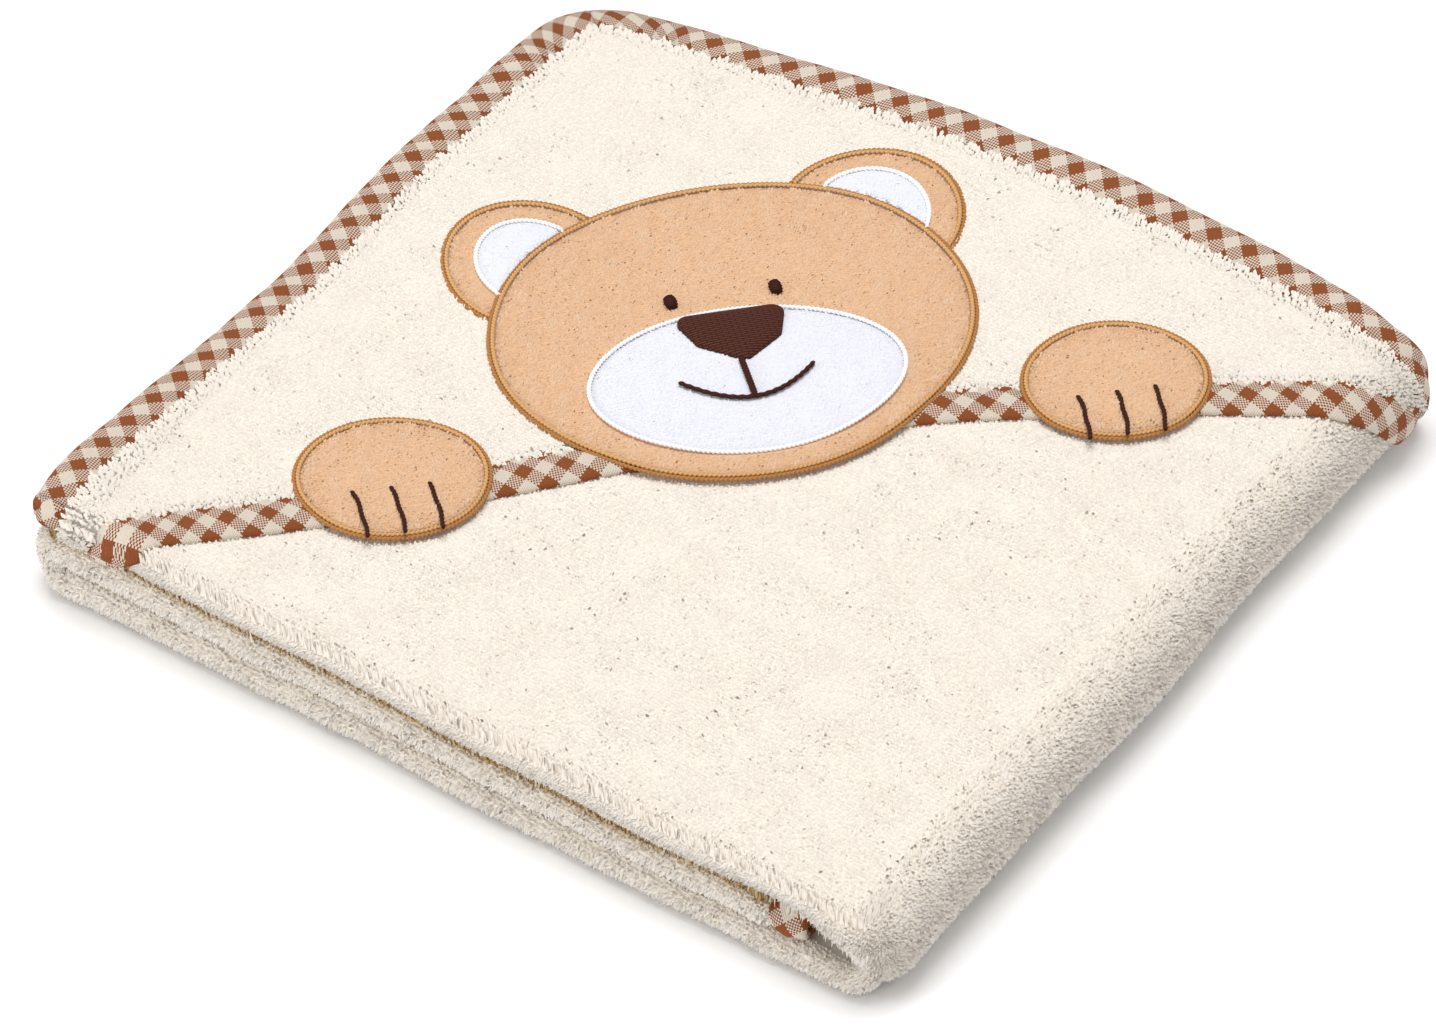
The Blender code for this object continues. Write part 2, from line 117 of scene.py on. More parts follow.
# Where each stretch of the strip starts, along s and along t.
S_ROLL = ROLL_X
S_MID = S_ROLL + math.pi * ROLL / 2
S_BOTTOM = S_ROLL + math.pi * ROLL
S_TURN = S_BOTTOM + ROLL_X - TURN_X
S_TUCKED = S_TURN + math.pi * TURN
S_END = S_TUCKED + TUCKED_END - TURN_X
T_LIP = LIP_Y
T_INNER = T_LIP - math.pi * LIP
T_BACK = T_INNER - (BACK_Y - LIP_Y)
T_MIDDLE = T_BACK - math.pi * BACK
T_END = T_MIDDLE - (BACK_Y - TUCK_Y)

GROUND = 0.0008  # half thickness of the woven ground under the pile
MIDDLE = -LAYER / 2
DIAGONAL = math.sqrt(0.5)  # sine of 45 degrees

# The bear, in axes turned 45 degrees: u across the face, v towards the hood's corner.
HEAD = (0.0056, 0.0355, 0.0661, 0.0593)
HEAD_TURN = math.radians(14)
FACE_TURN = math.radians(2.5)
EARS = {"left": (-0.0407, 0.0713, 0.0252, 0.0272), "right": (0.0506, 0.0737, 0.0252, 0.0272)}
INNER_EAR = (0.0156, 0.0180)
MUZZLE = (0.0052, 0.0128, 0.0433, 0.0283)
PAWS = {"left": (-0.0932, -0.0077, 0.0261, 0.0239), "right": (0.1001, -0.0049, 0.0251, 0.0234)}
CLAW_LEAN = {"left": 0.04, "right": 0.14}
NAP = (0.08, -0.16)  # how the plush lies, along u and v
CORD_PITCH, CORD_SLANT, CORD_FLAT = 0.00125, 1.8, 0.85  # stitch length, twist and squash of the borders' cords

# Design points of the nose's outline, from the middle of the face.
NOSE = ((-0.0158, 0.0392), (-0.0116, 0.0262), (0.0000, 0.0176), (0.0116, 0.0262), (0.0158, 0.0392))

# Design points of the hem's middle line.
HEM = (
    (-0.187, -0.0235),
    (-0.120, -0.0160),
    (-0.055, -0.0112),
    (0.000, -0.0060),
    (0.055, -0.0060),
    (0.120, -0.0148),
    (0.187, -0.0185),
)

# Design points of the packet's outline: how far each edge lies outside the square.
LEFT_OUT = (
    (-0.135, 0.0010),
    (-0.060, 0.0020),
    (0.000, 0.0040),
    (0.050, 0.0085),
    (0.100, 0.0100),
    (0.135, 0.0070),
)
FRONT_OUT = ((-0.135, -0.0085), (0.000, -0.0062), (0.090, -0.0040), (0.135, -0.0045))
RIGHT_OUT = ((-0.135, -0.0068), (-0.080, -0.0052), (0.000, -0.0022), (0.090, 0.0003), (0.135, 0.0050))


# ---- settings ---------------------------------------------------------------------------------


def length(name, text, default):
    """A size in metres, shown with its unit."""
    return bpy.props.FloatProperty(
        name=name, description=text, default=default, min=0.0, unit="LENGTH", precision=5
    )


def paint(name, text, code):
    """A colour given as sRGB hex, kept as the linear values that shaders use."""
    return bpy.props.FloatVectorProperty(
        name=name, description=text, subtype="COLOR", size=3, min=0.0, max=1.0, default=linear(code)
    )


def linear(code):
    """sRGB hex to linear red, green and blue."""
    parts = [int(code[i : i + 2], 16) / 255 for i in (1, 3, 5)]
    return tuple(c / 12.92 if c <= 0.04045 else ((c + 0.055) / 1.055) ** 2.4 for c in parts)


class TowelSizes(bpy.types.PropertyGroup):
    """Sizes a user may change"""

    row: length("Pile Row", "Distance between rows of terry locks", 0.00115)
    step: length("Pile Step", "Distance between locks along a row", 0.00094)
    pile: length("Pile Height", "Height of the terry's locks", 0.0011)
    lock: length("Lock Radius", "Radius of one lock of terry", 0.00064)
    plush_step: length("Plush Step", "Distance between locks of the patches' plush", 0.00088)
    plush: length("Plush Height", "Height of the plush", 0.0008)
    binding: length("Binding Width", "Visible width of the gingham tape", 0.011)
    check: length("Check", "Side of one gingham check", 0.0040)
    thread: length("Thread", "Width of one gingham thread", 0.00050)
    cord: length("Cord", "Radius of each of a border's two cords", 0.00054)
    dome: length("Dome", "Rise of the packet's middle over its edges", 0.0014)


class TowelColours(bpy.types.PropertyGroup):
    """Colours a user may change"""

    cream: paint("Terry Cream", "Tips of the terry", "#F8F0E6")
    # Painted shade: the terry's colour down between its locks; also the woven ground's deeper tone.
    straw: paint("Terry Depth", "Depth of the terry", "#F0E4D2")
    # Painted shade: the golden, darker colour of the terry deep in the creases, where shade falls between the
    # folded thirds.
    terry_crease_shade: paint("Terry Crease", "Terry deep in the creases", "#C09A5E")
    tan: paint("Plush Tan", "Tips of the bear's plush", "#E8C4A3")
    # Painted shade: the tan plush's colour down between its locks; also its ground's deeper tone.
    bark: paint("Plush Depth", "Depth of the bear's plush", "#DAAD82")
    white: paint("Plush White", "Muzzle and inner ears", "#ECECF3")
    # Painted shade: the white plush's colour down between its locks; also its ground's deeper tone.
    mist: paint("White Depth", "Depth of the white plush", "#E3E4EE")
    brown: paint("Gingham Brown", "Dyed threads of the tape", "#94522A")
    milk: paint("Gingham Light", "Undyed threads of the tape", "#E9DCCB")
    # The border's two cords are one gold thread: the inner one painted paler as lit, the outer one darker as in
    # shade.
    pale: paint("Pale Thread", "Inner cord of the satin borders", "#DEB078")
    gold: paint("Gold Thread", "Outer cord of the satin borders", "#BC8449")
    # Painted shade: the gold thread's colour between the border's stitches.
    amber: paint("Gold Depth", "Between the border's stitches", "#96602E")
    # The nose thread's colour on its rows, partly painted highlight.
    nose: paint("Nose Thread", "Nose", "#5E3226")
    # Painted highlight: the dark thread's colour where each stitch swells.
    cocoa: paint("Brown Thread", "Swell of the dark stitches", "#4A241B")
    # Also the painted shade between the dark threads' stitches and in the nose's needle holes.
    soot: paint("Dark Thread", "Mouth, eyes and claws", "#231510")


def sizes():
    """The sizes as set in the scene."""
    return bpy.context.scene.towel_sizes


def colours():
    """The colours as set in the scene."""
    return bpy.context.scene.towel_colours


# ---- the strip's shape ------------------------------------------------------------------------


def section(t, off):
    """Across the strip: (y, height, normal y, normal height) at t, off metres outside the outer face.

    Flat outer layer, half turn round the lip, flat inner layer, half turn round the small fold and
    the tucked middle layer, each a straight line or a circle in the plane across the strip."""
    lip = (T_LIP - t) / LIP
    back = (T_BACK - t) / BACK
    cases = [t >= T_LIP, t >= T_INNER, t >= T_BACK, t >= T_MIDDLE]
    y = np.select(
        cases,
        [t, LIP_Y - (LIP + off) * np.sin(lip), LIP_Y + T_INNER - t, BACK_Y + (BACK + off) * np.sin(back)],
        BACK_Y - (T_MIDDLE - t),
    )
    h = np.select(
        cases,
        [STACK + off, STACK / 2 + (LIP + off) * np.cos(lip), -off, BACK_H - (BACK + off) * np.cos(back)],
        BACK_H + BACK + off,
    )
    ny = np.select(cases, [0 * t, -np.sin(lip), 0 * t, np.sin(back)], 0)
    nh = np.select(cases, [0 * t + 1, np.cos(lip), 0 * t - 1, -np.cos(back)], 1)
    return y, h - STACK, ny, nh


def path(s, h):
    """Along the strip: (x, z, normal x, normal z) at s, h metres outside the outer face.

    Top third, half turn round the roll, bottom third, half turn at -X and the tucked third."""
    roll = (s - S_ROLL) / ROLL
    turn = (s - S_TURN) / TURN
    cases = [s <= S_ROLL, s <= S_BOTTOM, s <= S_TURN, s <= S_TUCKED]
    x = np.select(
        cases,
        [s, ROLL_X + (ROLL + h) * np.sin(roll), ROLL_X - (s - S_BOTTOM), TURN_X - (TURN + h) * np.sin(turn)],
        TURN_X + s - S_TUCKED,
    )
    z = np.select(
        cases,
        [TOP + h, ROLL + (ROLL + h) * np.cos(roll), -h, TURN - (TURN + h) * np.cos(turn)],
        2 * TURN + h,
    )
    nx = np.select(cases, [0 * s, np.sin(roll), 0 * s, -np.sin(turn)], 0)
    nz = np.select(cases, [0 * s + 1, np.cos(roll), 0 * s - 1, -np.cos(turn)], 1)
    return x, z, nx, nz


def place(s, t, off):
    """Points in the packet, as folded, for flat coordinates and a height over the outer face."""
    s, t, off = np.broadcast_arrays(np.asarray(s, float), np.asarray(t, float), np.asarray(off, float))
    y, h, _, _ = section(t, off)
    x, z, _, _ = path(s, h)
    return np.stack([x, y, z], axis=-1)


def axes(s, t):
    """Unit vectors at a point of the outer face: along s, along t and outwards."""
    _, h, ny, nh = section(t, 0 * t)
    _, _, nx, nz = path(s, h)
    zero = 0 * nx
    along = np.stack([nz, zero, -nx], axis=-1)
    up = np.stack([-nx * ny, nh + zero, -nz * ny], axis=-1)
    out = np.stack([nx * nh, ny + zero, nz * nh], axis=-1)
    return along, up, out


def waves(a, b, size, seed):
    """A smooth field near -1 to 1: nine plane sine waves of about that length, in seeded directions."""
    rng = np.random.default_rng(seed)
    total = 0.0
    for _ in range(9):
        angle, phase, scale = rng.uniform(0, 2 * math.pi), rng.uniform(0, 2 * math.pi), rng.uniform(0.7, 1.5)
        along = a * math.cos(angle) + b * math.sin(angle)
        total = total + np.sin(2 * math.pi / (size * scale) * along + phase)
    return total / 3.2


def through(knots, at):
    """The polynomial through a few design points."""
    xs, ys = np.array(knots).T
    return np.polyval(np.polyfit(xs, ys, len(xs) - 1), np.clip(at, xs.min(), xs.max()))


def ramp(value, low, high):
    """Smooth step from 0 at low to 1 at high."""
    share = np.clip((value - low) / (high - low), 0, 1)
    return share * share * (3 - 2 * share)


def round_corner(x, y, side_x, side_y, radius, amount):
    """Draw the square's corner in to an arc: each ray from the arc's centre shortens to its radius."""
    qx, qy = side_x * x - (HALF - radius), side_y * y - (HALF - radius)
    near = (qx > 0) & (qy > 0)
    far = np.sqrt(qx**2 + qy**2) + 1e-12
    shrink = np.where(near, (np.maximum(qx, qy) / far - 1) * amount, 0)
    return x + side_x * qx * shrink, y + side_y * qy * shrink


def settle(points):
    """The lie of the real packet: bowed edges, rounded corners, a dome and a crease that sinks at +X."""
    x, y, z = points[..., 0], points[..., 1], points[..., 2]
    upper = ramp(z, 2 * TURN - 0.002, 2 * TURN + 0.003)
    x, y = round_corner(x, y, -1, 1, 0.016, upper)
    x, y = round_corner(x, y, 1, 1, 0.007, 1.0)
    x, y = round_corner(x, y, 1, -1, 0.013, 1.0)
    x, y = round_corner(x, y, -1, -1, 0.006, 1.0)
    left, back = np.clip((HALF - x) / (2 * HALF), 0, 1), np.clip((HALF + y) / (2 * HALF), 0, 1)
    bow = 0.0150 * (1 - (x / 0.118) ** 2)
    out_x = (1 - left) ** 5 * through(RIGHT_OUT, y) - left**6 * through(LEFT_OUT, y)
    out_x = out_x + 0.0004 * waves(y, z, 0.070, 3)
    out_y = back**7 * bow - (1 - back) ** 5 * through(FRONT_OUT, x) + 0.0004 * waves(x, z, 0.060, 4)
    front = 0.25 + 0.75 * ramp(-y, 0.02, 0.11)
    crease = 2 * TURN + front * (0.0030 - 0.0018 * ramp(x, -0.08, 0.06))
    fall = 0.0072 * ramp(-y, 0.110, 0.134) * ramp(x, TUCKED_END - 0.002, TUCKED_END + 0.016)
    fall = fall * (1 - 0.5 * ramp(x, 0.118, 0.132))
    level = 2 * TURN + GAP / 2
    spread = (1 - (x / HALF) ** 2) * (1 - (y / HALF) ** 2)
    lift = sizes().dome * np.clip(spread, 0, 1) - 0.0014 * x / HALF + 0.0005 * waves(x, y, 0.075, 5)
    roof = TOP + lift - 0.0032 * ramp(-y, 0.108, 0.139) ** 2 * (1 - 0.5 * ramp(-x, 0.10, 0.13))
    parting = (0.0009 + 0.0016 * np.exp(-(((x - TUCKED_END + 0.006) / 0.012) ** 2))) * ramp(-y, 0.120, 0.134)
    low = z * (crease - parting) / level - fall * ramp(z, 0.003, level)
    lid = crease + parting - fall
    mid = lid + (z - level) * (roof - lid) / (TOP - level)
    z = np.where(z < level, low, np.where(z < TOP, mid, z + lift))
    z = np.where(z > 0.001, z, 0.001 * np.exp(np.minimum(z, 0.001) / 0.001 - 1))
    return np.stack([x + out_x, y + out_y, z], axis=-1)


def to_flat(u, v):
    """Bear axes to flat coordinates."""
    return (u - v) * DIAGONAL, (u + v) * DIAGONAL


def to_bear(s, t):
    """Flat coordinates to bear axes."""
    return (s + t) * DIAGONAL, (t - s) * DIAGONAL


def hem_line(u):
    """Middle of the hem: a bow that drops away towards the folds."""
    return through(HEM, u)


def spin(points, angle, centre=(0.0, 0.0)):
    """Turn points (n, 2) about a centre."""
    c, s = math.cos(angle), math.sin(angle)
    return (np.asarray(points) - centre) @ np.array([[c, s], [-s, c]]) + centre


def within(u, v, shape, grow=0.0, turn=0.0):
    """Whether points lie inside an ellipse made larger by grow."""
    local = np.stack([u - shape[0], v - shape[1]], axis=-1)
    local = spin(local.reshape(-1, 2), -turn).reshape(local.shape)
    return (local[..., 0] / (shape[2] + grow)) ** 2 + (local[..., 1] / (shape[3] + grow)) ** 2 < 1


def on_bear(u, v, grow=0.0):
    """Whether points lie under one of the bear's patches."""
    hit = within(u, v, HEAD, grow, HEAD_TURN)
    for shape in (*EARS.values(), *PAWS.values()):
        hit = hit | within(u, v, shape, grow)
    return hit


# ---- meshes -----------------------------------------------------------------------------------


def mesh_object(name, points, faces, uv=None, uv_name="UVMap", tone=None):
    """One object from points and a list of arrays of triangles or quads, with optional map and tone."""
    points = np.asarray(points, np.float32).reshape(-1, 3)
    corners = np.concatenate([np.asarray(f).ravel() for f in faces]).astype(np.int32)
    counts = np.concatenate([np.full(len(f), np.shape(f)[1]) for f in faces])
    starts = np.concatenate([[0], np.cumsum(counts)[:-1]]).astype(np.int32)
    mesh = bpy.data.meshes.new(name)
    mesh.vertices.add(len(points))
    mesh.vertices.foreach_set("co", points.ravel())
    mesh.loops.add(len(corners))
    mesh.loops.foreach_set("vertex_index", corners)
    mesh.polygons.add(len(starts))
    mesh.polygons.foreach_set("loop_start", starts)
    mesh.update(calc_edges=True)
    if uv is not None:
        layer = mesh.uv_layers.new(name=uv_name)
        flat = np.asarray(uv, np.float32).reshape(-1, 2)[corners]
        layer.data.foreach_set("uv", flat.ravel())
    if tone is not None:
        made = mesh.attributes.new("tone", "FLOAT", "POINT")
        made.data.foreach_set("value", np.asarray(tone, np.float32).ravel())
    mesh.shade_smooth()
    thing = bpy.data.objects.new(name, mesh)
    bpy.context.scene.collection.objects.link(thing)
    return thing


def quads(index, close_rows=False, close_columns=False):
    """Quads over a grid of point numbers, joined round either way if asked."""
    if close_rows:
        index = np.concatenate([index, index[:1]], axis=0)
    if close_columns:
        index = np.concatenate([index, index[:, :1]], axis=1)
    a, b, c, d = index[:-1, :-1], index[:-1, 1:], index[1:, 1:], index[1:, :-1]
    return np.stack([a, b, c, d], axis=-1).reshape(-1, 4)


def shell(name, outer, inner, uv):
    """A closed sheet from the grids of its two faces; rows run along the first direction."""
    rows, columns = outer.shape[:2]
    top = np.arange(rows * columns).reshape(rows, columns)
    low = top + rows * columns
    rim = [
        np.stack([top[0], low[0]]),
        np.stack([low[-1], top[-1]]),
        np.stack([low[:, 0], top[:, 0]]),
        np.stack([top[:, -1], low[:, -1]]),
    ]
    faces = [quads(top)[:, ::-1], quads(low)] + [quads(band)[:, ::-1] for band in rim]
    points = np.concatenate([outer.reshape(-1, 3), inner.reshape(-1, 3)])
    return mesh_object(name, points, faces, np.concatenate([uv.reshape(-1, 2)] * 2))


def rounds(name, grid, uv=None, loop=False, tone=None):
    """A closed body from rings of points: either joined end to end, or with each end drawn to a point."""
    rows, around = grid.shape[:2]
    index = np.arange(rows * around).reshape(rows, around)
    faces = [quads(index, close_rows=loop, close_columns=True)]
    points = grid.reshape(-1, 3)
    if not loop:
        ends = np.stack([grid[0].mean(axis=0), grid[-1].mean(axis=0)])
        first, last = rows * around, rows * around + 1
        points = np.concatenate([points, ends])
        after = np.roll(index, -1, axis=1)
        faces.append(np.stack([np.full(around, first), after[0], index[0]], axis=-1))
        faces.append(np.stack([np.full(around, last), index[-1], after[-1]], axis=-1))
        if uv is not None:
            uv = np.concatenate([uv.reshape(-1, 2), uv[0].mean(axis=0)[None], uv[-1].mean(axis=0)[None]])
    return mesh_object(name, points, faces, uv, tone=tone)


def ribbon(line, half):
    """The two sides of a ribbon: a line in a plane pushed out by half its thickness each way."""
    along = np.gradient(line, axis=0)
    along /= np.linalg.norm(along, axis=1)[:, None]
    across = np.stack([-along[:, 1], along[:, 0]], axis=1) * half
    return line + across, line - across


def smooth_line(corners, times=2):
    """Cut a line's corners, twice over, keeping its ends."""
    line = np.asarray(corners, float)
    for _ in range(times):
        cut = np.stack([0.75 * line[:-1] + 0.25 * line[1:], 0.25 * line[:-1] + 0.75 * line[1:]], axis=1)
        line = np.concatenate([line[:1], cut.reshape(-1, 2), line[-1:]])
    return line


RINGS = ((0.0, 1.15), (0.55, 0.82))  # height and width of a lock's rings, as shares
SOFTEN = 0.88  # how far a lock's shading leans towards that of the cloth below, as fine fibres do
TOUSLED = 0.50  # the same on the folds, where the pile stands open


def crease_shade_mask(points):
    """How deep a point sits in the creases between the folded thirds, from 0 to 1: a bell round each level. It
    masks the shade that is painted into the terry's colour there.
    """
    y, z = points[..., 1], points[..., 2]
    upper = np.exp(-(((z - 2 * TURN) / 0.0017) ** 2))
    lower = 0.25 * np.exp(-(((z - TURN) / 0.0013) ** 2))
    return (upper + lower) * ramp(LIP_Y + 0.001 - y, 0.0, 0.001) * ramp(0.118 - points[..., 0], 0.0, 0.020)


def locks(name, s, t, off, height, width, lean_s, lean_t, rng, span, soften=SOFTEN, shade=1.0):
    """Locks of pile: three-sided closed tufts whose middle line bends over as a parabola.

    Ring k stands at root + out * h * a + lean * h * a^2 for its share a of the height."""
    along, up, out = axes(s, t)
    root = place(s, t, off)
    lean = along * lean_s[:, None] + up * lean_t[:, None]
    start = rng.uniform(0, 2 * math.pi, len(s))
    points, tone, uv = [], [], []
    centre = np.stack([(s - span[0]) / (span[1] - span[0]), (t - span[2]) / (span[3] - span[2])], axis=-1)
    texel = 0.6 * width / max(span[1] - span[0], span[3] - span[2])
    for share, wide in RINGS:
        middle = root + out * (height * share)[:, None] + lean * (height * share**2)[:, None]
        for corner in range(3):
            turn = start + corner * 2 * math.pi / 3
            side = along * np.cos(turn)[:, None] + up * np.sin(turn)[:, None]
            points.append(middle + side * (width * wide)[:, None])
            spoke = np.stack([np.cos(turn), np.sin(turn)], axis=-1)
            uv.append(centre + spoke * (texel * (1.4 - share))[:, None])
            # Painted shade: each ring's level darkens towards the root, where shade falls between the locks.
            tone.append(np.full(len(s), 0.55 + 0.55 * share))
    points.append(root + out * height[:, None] + lean * height[:, None])
    uv.append(centre)
    tone.append(np.ones(len(s)))
    base = np.arange(len(s))[:, None] * 7
    ring = np.array([[j, (j + 1) % 3, 3 + (j + 1) % 3, 3 + j] for j in range(3)])
    tips = np.array([[3, 4, 6], [4, 5, 6], [5, 3, 6], [0, 2, 1]])
    faces = [(base[:, :, None] + ring).reshape(-1, 4), (base[:, :, None] + tips).reshape(-1, 3)]
    # shade is painted shade passed in, such as the plush's ripple bands; each lock also gets a random tone.
    shade = np.reshape(shade * rng.uniform(0.85, 1.0, len(s)), (-1, 1))
    # The crease mask lowers the level, painting shade into the locks' colour where the thirds fold on each
    # other.
    shades = np.stack(tone, axis=1) * shade - 1.2 * crease_shade_mask(root)[:, None]
    uv = np.clip(np.stack(uv, axis=1) * 0.98 + 0.01, 0, 1)
    thing = mesh_object(name, settle(np.stack(points, axis=1)), faces, uv, "OFBake", shades)
    own = np.zeros(len(s) * 21, np.float32)
    thing.data.vertices.foreach_get("normal", own)
    soft = own.reshape(-1, 7, 3) * (1 - soften) + out[:, None, :] * soften
    soft /= np.linalg.norm(soft, axis=-1, keepdims=True)
    thing.data.normals_split_custom_set_from_vertices(soft.reshape(-1, 3).tolist())
    return thing


def scatter(span, step, row, rng):
    """Rows along s of points a step apart, each row shifted and every point nudged."""
    s0, s1, t0, t1 = span
    across, along = max(1, round((s1 - s0) / step)), max(1, round((t1 - t0) / row))
    s = s0 + (np.arange(across)[None, :] + 0.5 + 0.5 * (np.arange(along)[:, None] % 2)) * (s1 - s0) / across
    t = t0 + (np.arange(along)[:, None] + 0.5 + np.zeros((1, across))) * (t1 - t0) / along
    s, t = s.ravel(), t.ravel()
    s = s + rng.uniform(-0.35, 0.35, len(s)) * step
    t = t + rng.uniform(-0.30, 0.30, len(t)) * row
    return np.clip(s, s0, s1), np.clip(t, t0, t1)


# ---- materials --------------------------------------------------------------------------------


def node(tree, kind, settings=None, **links):
    """Add a shader node; settings go on it or its sockets, links join earlier outputs to its inputs."""
    made = tree.nodes.new(kind)
    for key, value in (settings or {}).items():
        if isinstance(key, int) or key in made.inputs:
            made.inputs[key].default_value = value
        else:
            setattr(made, key, value)
    for key, source in links.items():
        numbered = key[0] == "i" and key[1:].isdigit()
        socket = made.inputs[int(key[1:]) if numbered else key.replace("_", " ")]
        tree.links.new(source, socket)
    return made


def new_material(name, roughness, sheen=0.0, specular=0.2):
    """A material with its surface shader; returns the material, its tree and the shader."""
    made = bpy.data.materials.new(name)
    made.use_nodes = True
    tree = made.node_tree
    shader = tree.nodes["Principled BSDF"]
    shader.inputs["Roughness"].default_value = roughness
    shader.inputs["Specular IOR Level"].default_value = specular
    shader.inputs["Sheen Weight"].default_value = sheen
    shader.inputs["Sheen Roughness"].default_value = 0.6
    return made, tree, shader


def math_node(tree, operation, a, b=None, c=None):
    """A math node on numbers or earlier outputs; returns its output."""
    made = tree.nodes.new("ShaderNodeMath")
    made.operation = operation
    for socket, value in zip(made.inputs, (a, b, c)):
        if value is None:
            continue
        if isinstance(value, (int, float)):
            socket.default_value = value
        else:
            tree.links.new(value, socket)
    return made.outputs[0]


def mix(tree, share, a, b):
    """A colour between a and b, each a colour or an earlier output."""
    made = tree.nodes.new("ShaderNodeMix")
    made.data_type = "RGBA"
    for number, value in ((0, share), (6, a), (7, b)):
        if isinstance(value, bpy.types.NodeSocket):
            tree.links.new(value, made.inputs[number])
        else:
            made.inputs[number].default_value = value if number == 0 else (*value, 1.0)
    return made.outputs[2]


def bump(tree, height, depth):
    """Normals of a bump of that depth in metres."""
    return node(tree, "ShaderNodeBump", {"Strength": 1.0, "Distance": depth}, Height=height).outputs[0]


def pile_material(name, tip, depth, crease_shade_colour, blotch=0.012, sheen=0.15):
    """Cotton pile: light at the tips, with painted shade that makes it warmer and darker down between the locks
    and darkest where the cloth folds on itself.
    """
    made, tree, shader = new_material(name, 0.95, sheen, 0.1)
    where = node(tree, "ShaderNodeTexCoord").outputs["Object"]
    tone = node(tree, "ShaderNodeAttribute", {"attribute_name": "tone"}).outputs["Fac"]
    cloud = node(tree, "ShaderNodeTexNoise", {"Scale": 1 / blotch, "Detail": 3.0}, Vector=where).outputs["Fac"]
    fine = node(tree, "ShaderNodeTexNoise", {"Scale": 900.0, "Detail": 1.0}, Vector=where).outputs["Fac"]
    level = math_node(tree, "MULTIPLY_ADD", tone, 0.80, math_node(tree, "MULTIPLY", cloud, 0.22))
    level = math_node(tree, "MULTIPLY_ADD", fine, 0.14, level)
    share = node(tree, "ShaderNodeMapRange", {"From Min": 0.30, "From Max": 0.95}, Value=level).outputs[0]
    # Painted crease shade: where the level falls low, the colour goes over to the crease shade colour.
    dark = node(tree, "ShaderNodeMapRange", {"From Min": 0.10, "From Max": 0.40}, Value=level).outputs[0]
    tree.links.new(mix(tree, dark, crease_shade_colour, mix(tree, share, depth, tip)), shader.inputs["Base Color"])
    return made


def ground_material(name, tip, depth):
    """Woven ground under the pile: a fine tabby weave in the pile's deeper tone."""
    made, tree, shader = new_material(name, 0.95, 0.1, 0.1)
    where = node(tree, "ShaderNodeTexCoord").outputs["Object"]
    fine = node(tree, "ShaderNodeTexNoise", {"Scale": 700.0, "Detail": 2.0}, Vector=where).outputs["Fac"]
    coarse = node(tree, "ShaderNodeTexNoise", {"Scale": 90.0, "Detail": 2.0}, Vector=where).outputs["Fac"]
    share = math_node(tree, "MULTIPLY_ADD", fine, 0.6, math_node(tree, "MULTIPLY", coarse, 0.5))
    tree.links.new(mix(tree, share, depth, tip), shader.inputs["Base Color"])
    tree.links.new(bump(tree, fine, 0.0002), shader.inputs["Normal"])
    return made


def gingham_material(name):
    """Bias-cut gingham: dyed and plain bands cross at 45 degrees, and each thread passes over or under.

    The threads also give it a fine tooth."""
    made, tree, shader = new_material(name, 0.85, 0.05, 0.08)
    look, size = colours(), sizes()
    flat = node(tree, "ShaderNodeUVMap", {"uv_map": "UVMap"}).outputs[0]
    split = node(tree, "ShaderNodeSeparateXYZ", Vector=flat)
    plus = math_node(tree, "ADD", split.outputs[0], split.outputs[1])
    minus = math_node(tree, "SUBTRACT", split.outputs[0], split.outputs[1])
    bands, threads, tooth = [], [], []
    for way in (plus, minus):
        across = math_node(tree, "MULTIPLY", way, DIAGONAL)
        phase = math_node(tree, "FRACT", math_node(tree, "MULTIPLY", across, 0.5 / size.check))
        bands.append(math_node(tree, "LESS_THAN", phase, 0.5))
        number = math_node(tree, "MULTIPLY", across, 1 / size.thread)
        threads.append(math_node(tree, "FLOOR", number))
        tooth.append(math_node(tree, "SINE", math_node(tree, "MULTIPLY", number, 2 * math.pi)))
    over = math_node(tree, "FLOORED_MODULO", math_node(tree, "ADD", *threads), 2.0)
    pick = tree.nodes.new("ShaderNodeMix")
    tree.links.new(over, pick.inputs[0])
    tree.links.new(bands[0], pick.inputs[2])
    tree.links.new(bands[1], pick.inputs[3])
    where = node(tree, "ShaderNodeTexCoord").outputs["Object"]
    wear = node(tree, "ShaderNodeTexNoise", {"Scale": 2200.0, "Detail": 2.0}, Vector=where).outputs["Fac"]
    brown = mix(tree, wear, tuple(c * 0.75 for c in look.brown), tuple(min(1, c * 1.2) for c in look.brown))
    milk = mix(tree, wear, tuple(c * 0.88 for c in look.milk), look.milk)
    tree.links.new(mix(tree, pick.outputs[0], milk, brown), shader.inputs["Base Color"])
    height = math_node(tree, "ADD", tooth[0], tooth[1])
    tree.links.new(bump(tree, height, 0.00006), shader.inputs["Normal"])
    return made


def satin_material(name, light, deep, gloss=0.2, pitch=0.00045):
    """Satin stitch in rayon thread: a soft gloss, with fine strands whose gaps are painted deeper in colour as
    shade, and each stitch's swell painted lighter as a highlight.
    """
    made, tree, shader = new_material(name, 0.6, 0.0, gloss)
    where = node(tree, "ShaderNodeTexCoord").outputs["Object"]
    strand = node(tree, "ShaderNodeTexNoise", {"Scale": 0.55 / pitch, "Detail": 2.0}, Vector=where)
    strand = strand.outputs["Fac"]
    tone = node(tree, "ShaderNodeAttribute", {"attribute_name": "tone"}).outputs["Fac"]
    level = math_node(tree, "MULTIPLY_ADD", strand, 0.6, math_node(tree, "MULTIPLY", tone, 0.7))
    tree.links.new(mix(tree, level, deep, light), shader.inputs["Base Color"])
    tree.links.new(bump(tree, strand, 0.00012), shader.inputs["Normal"])
    return made


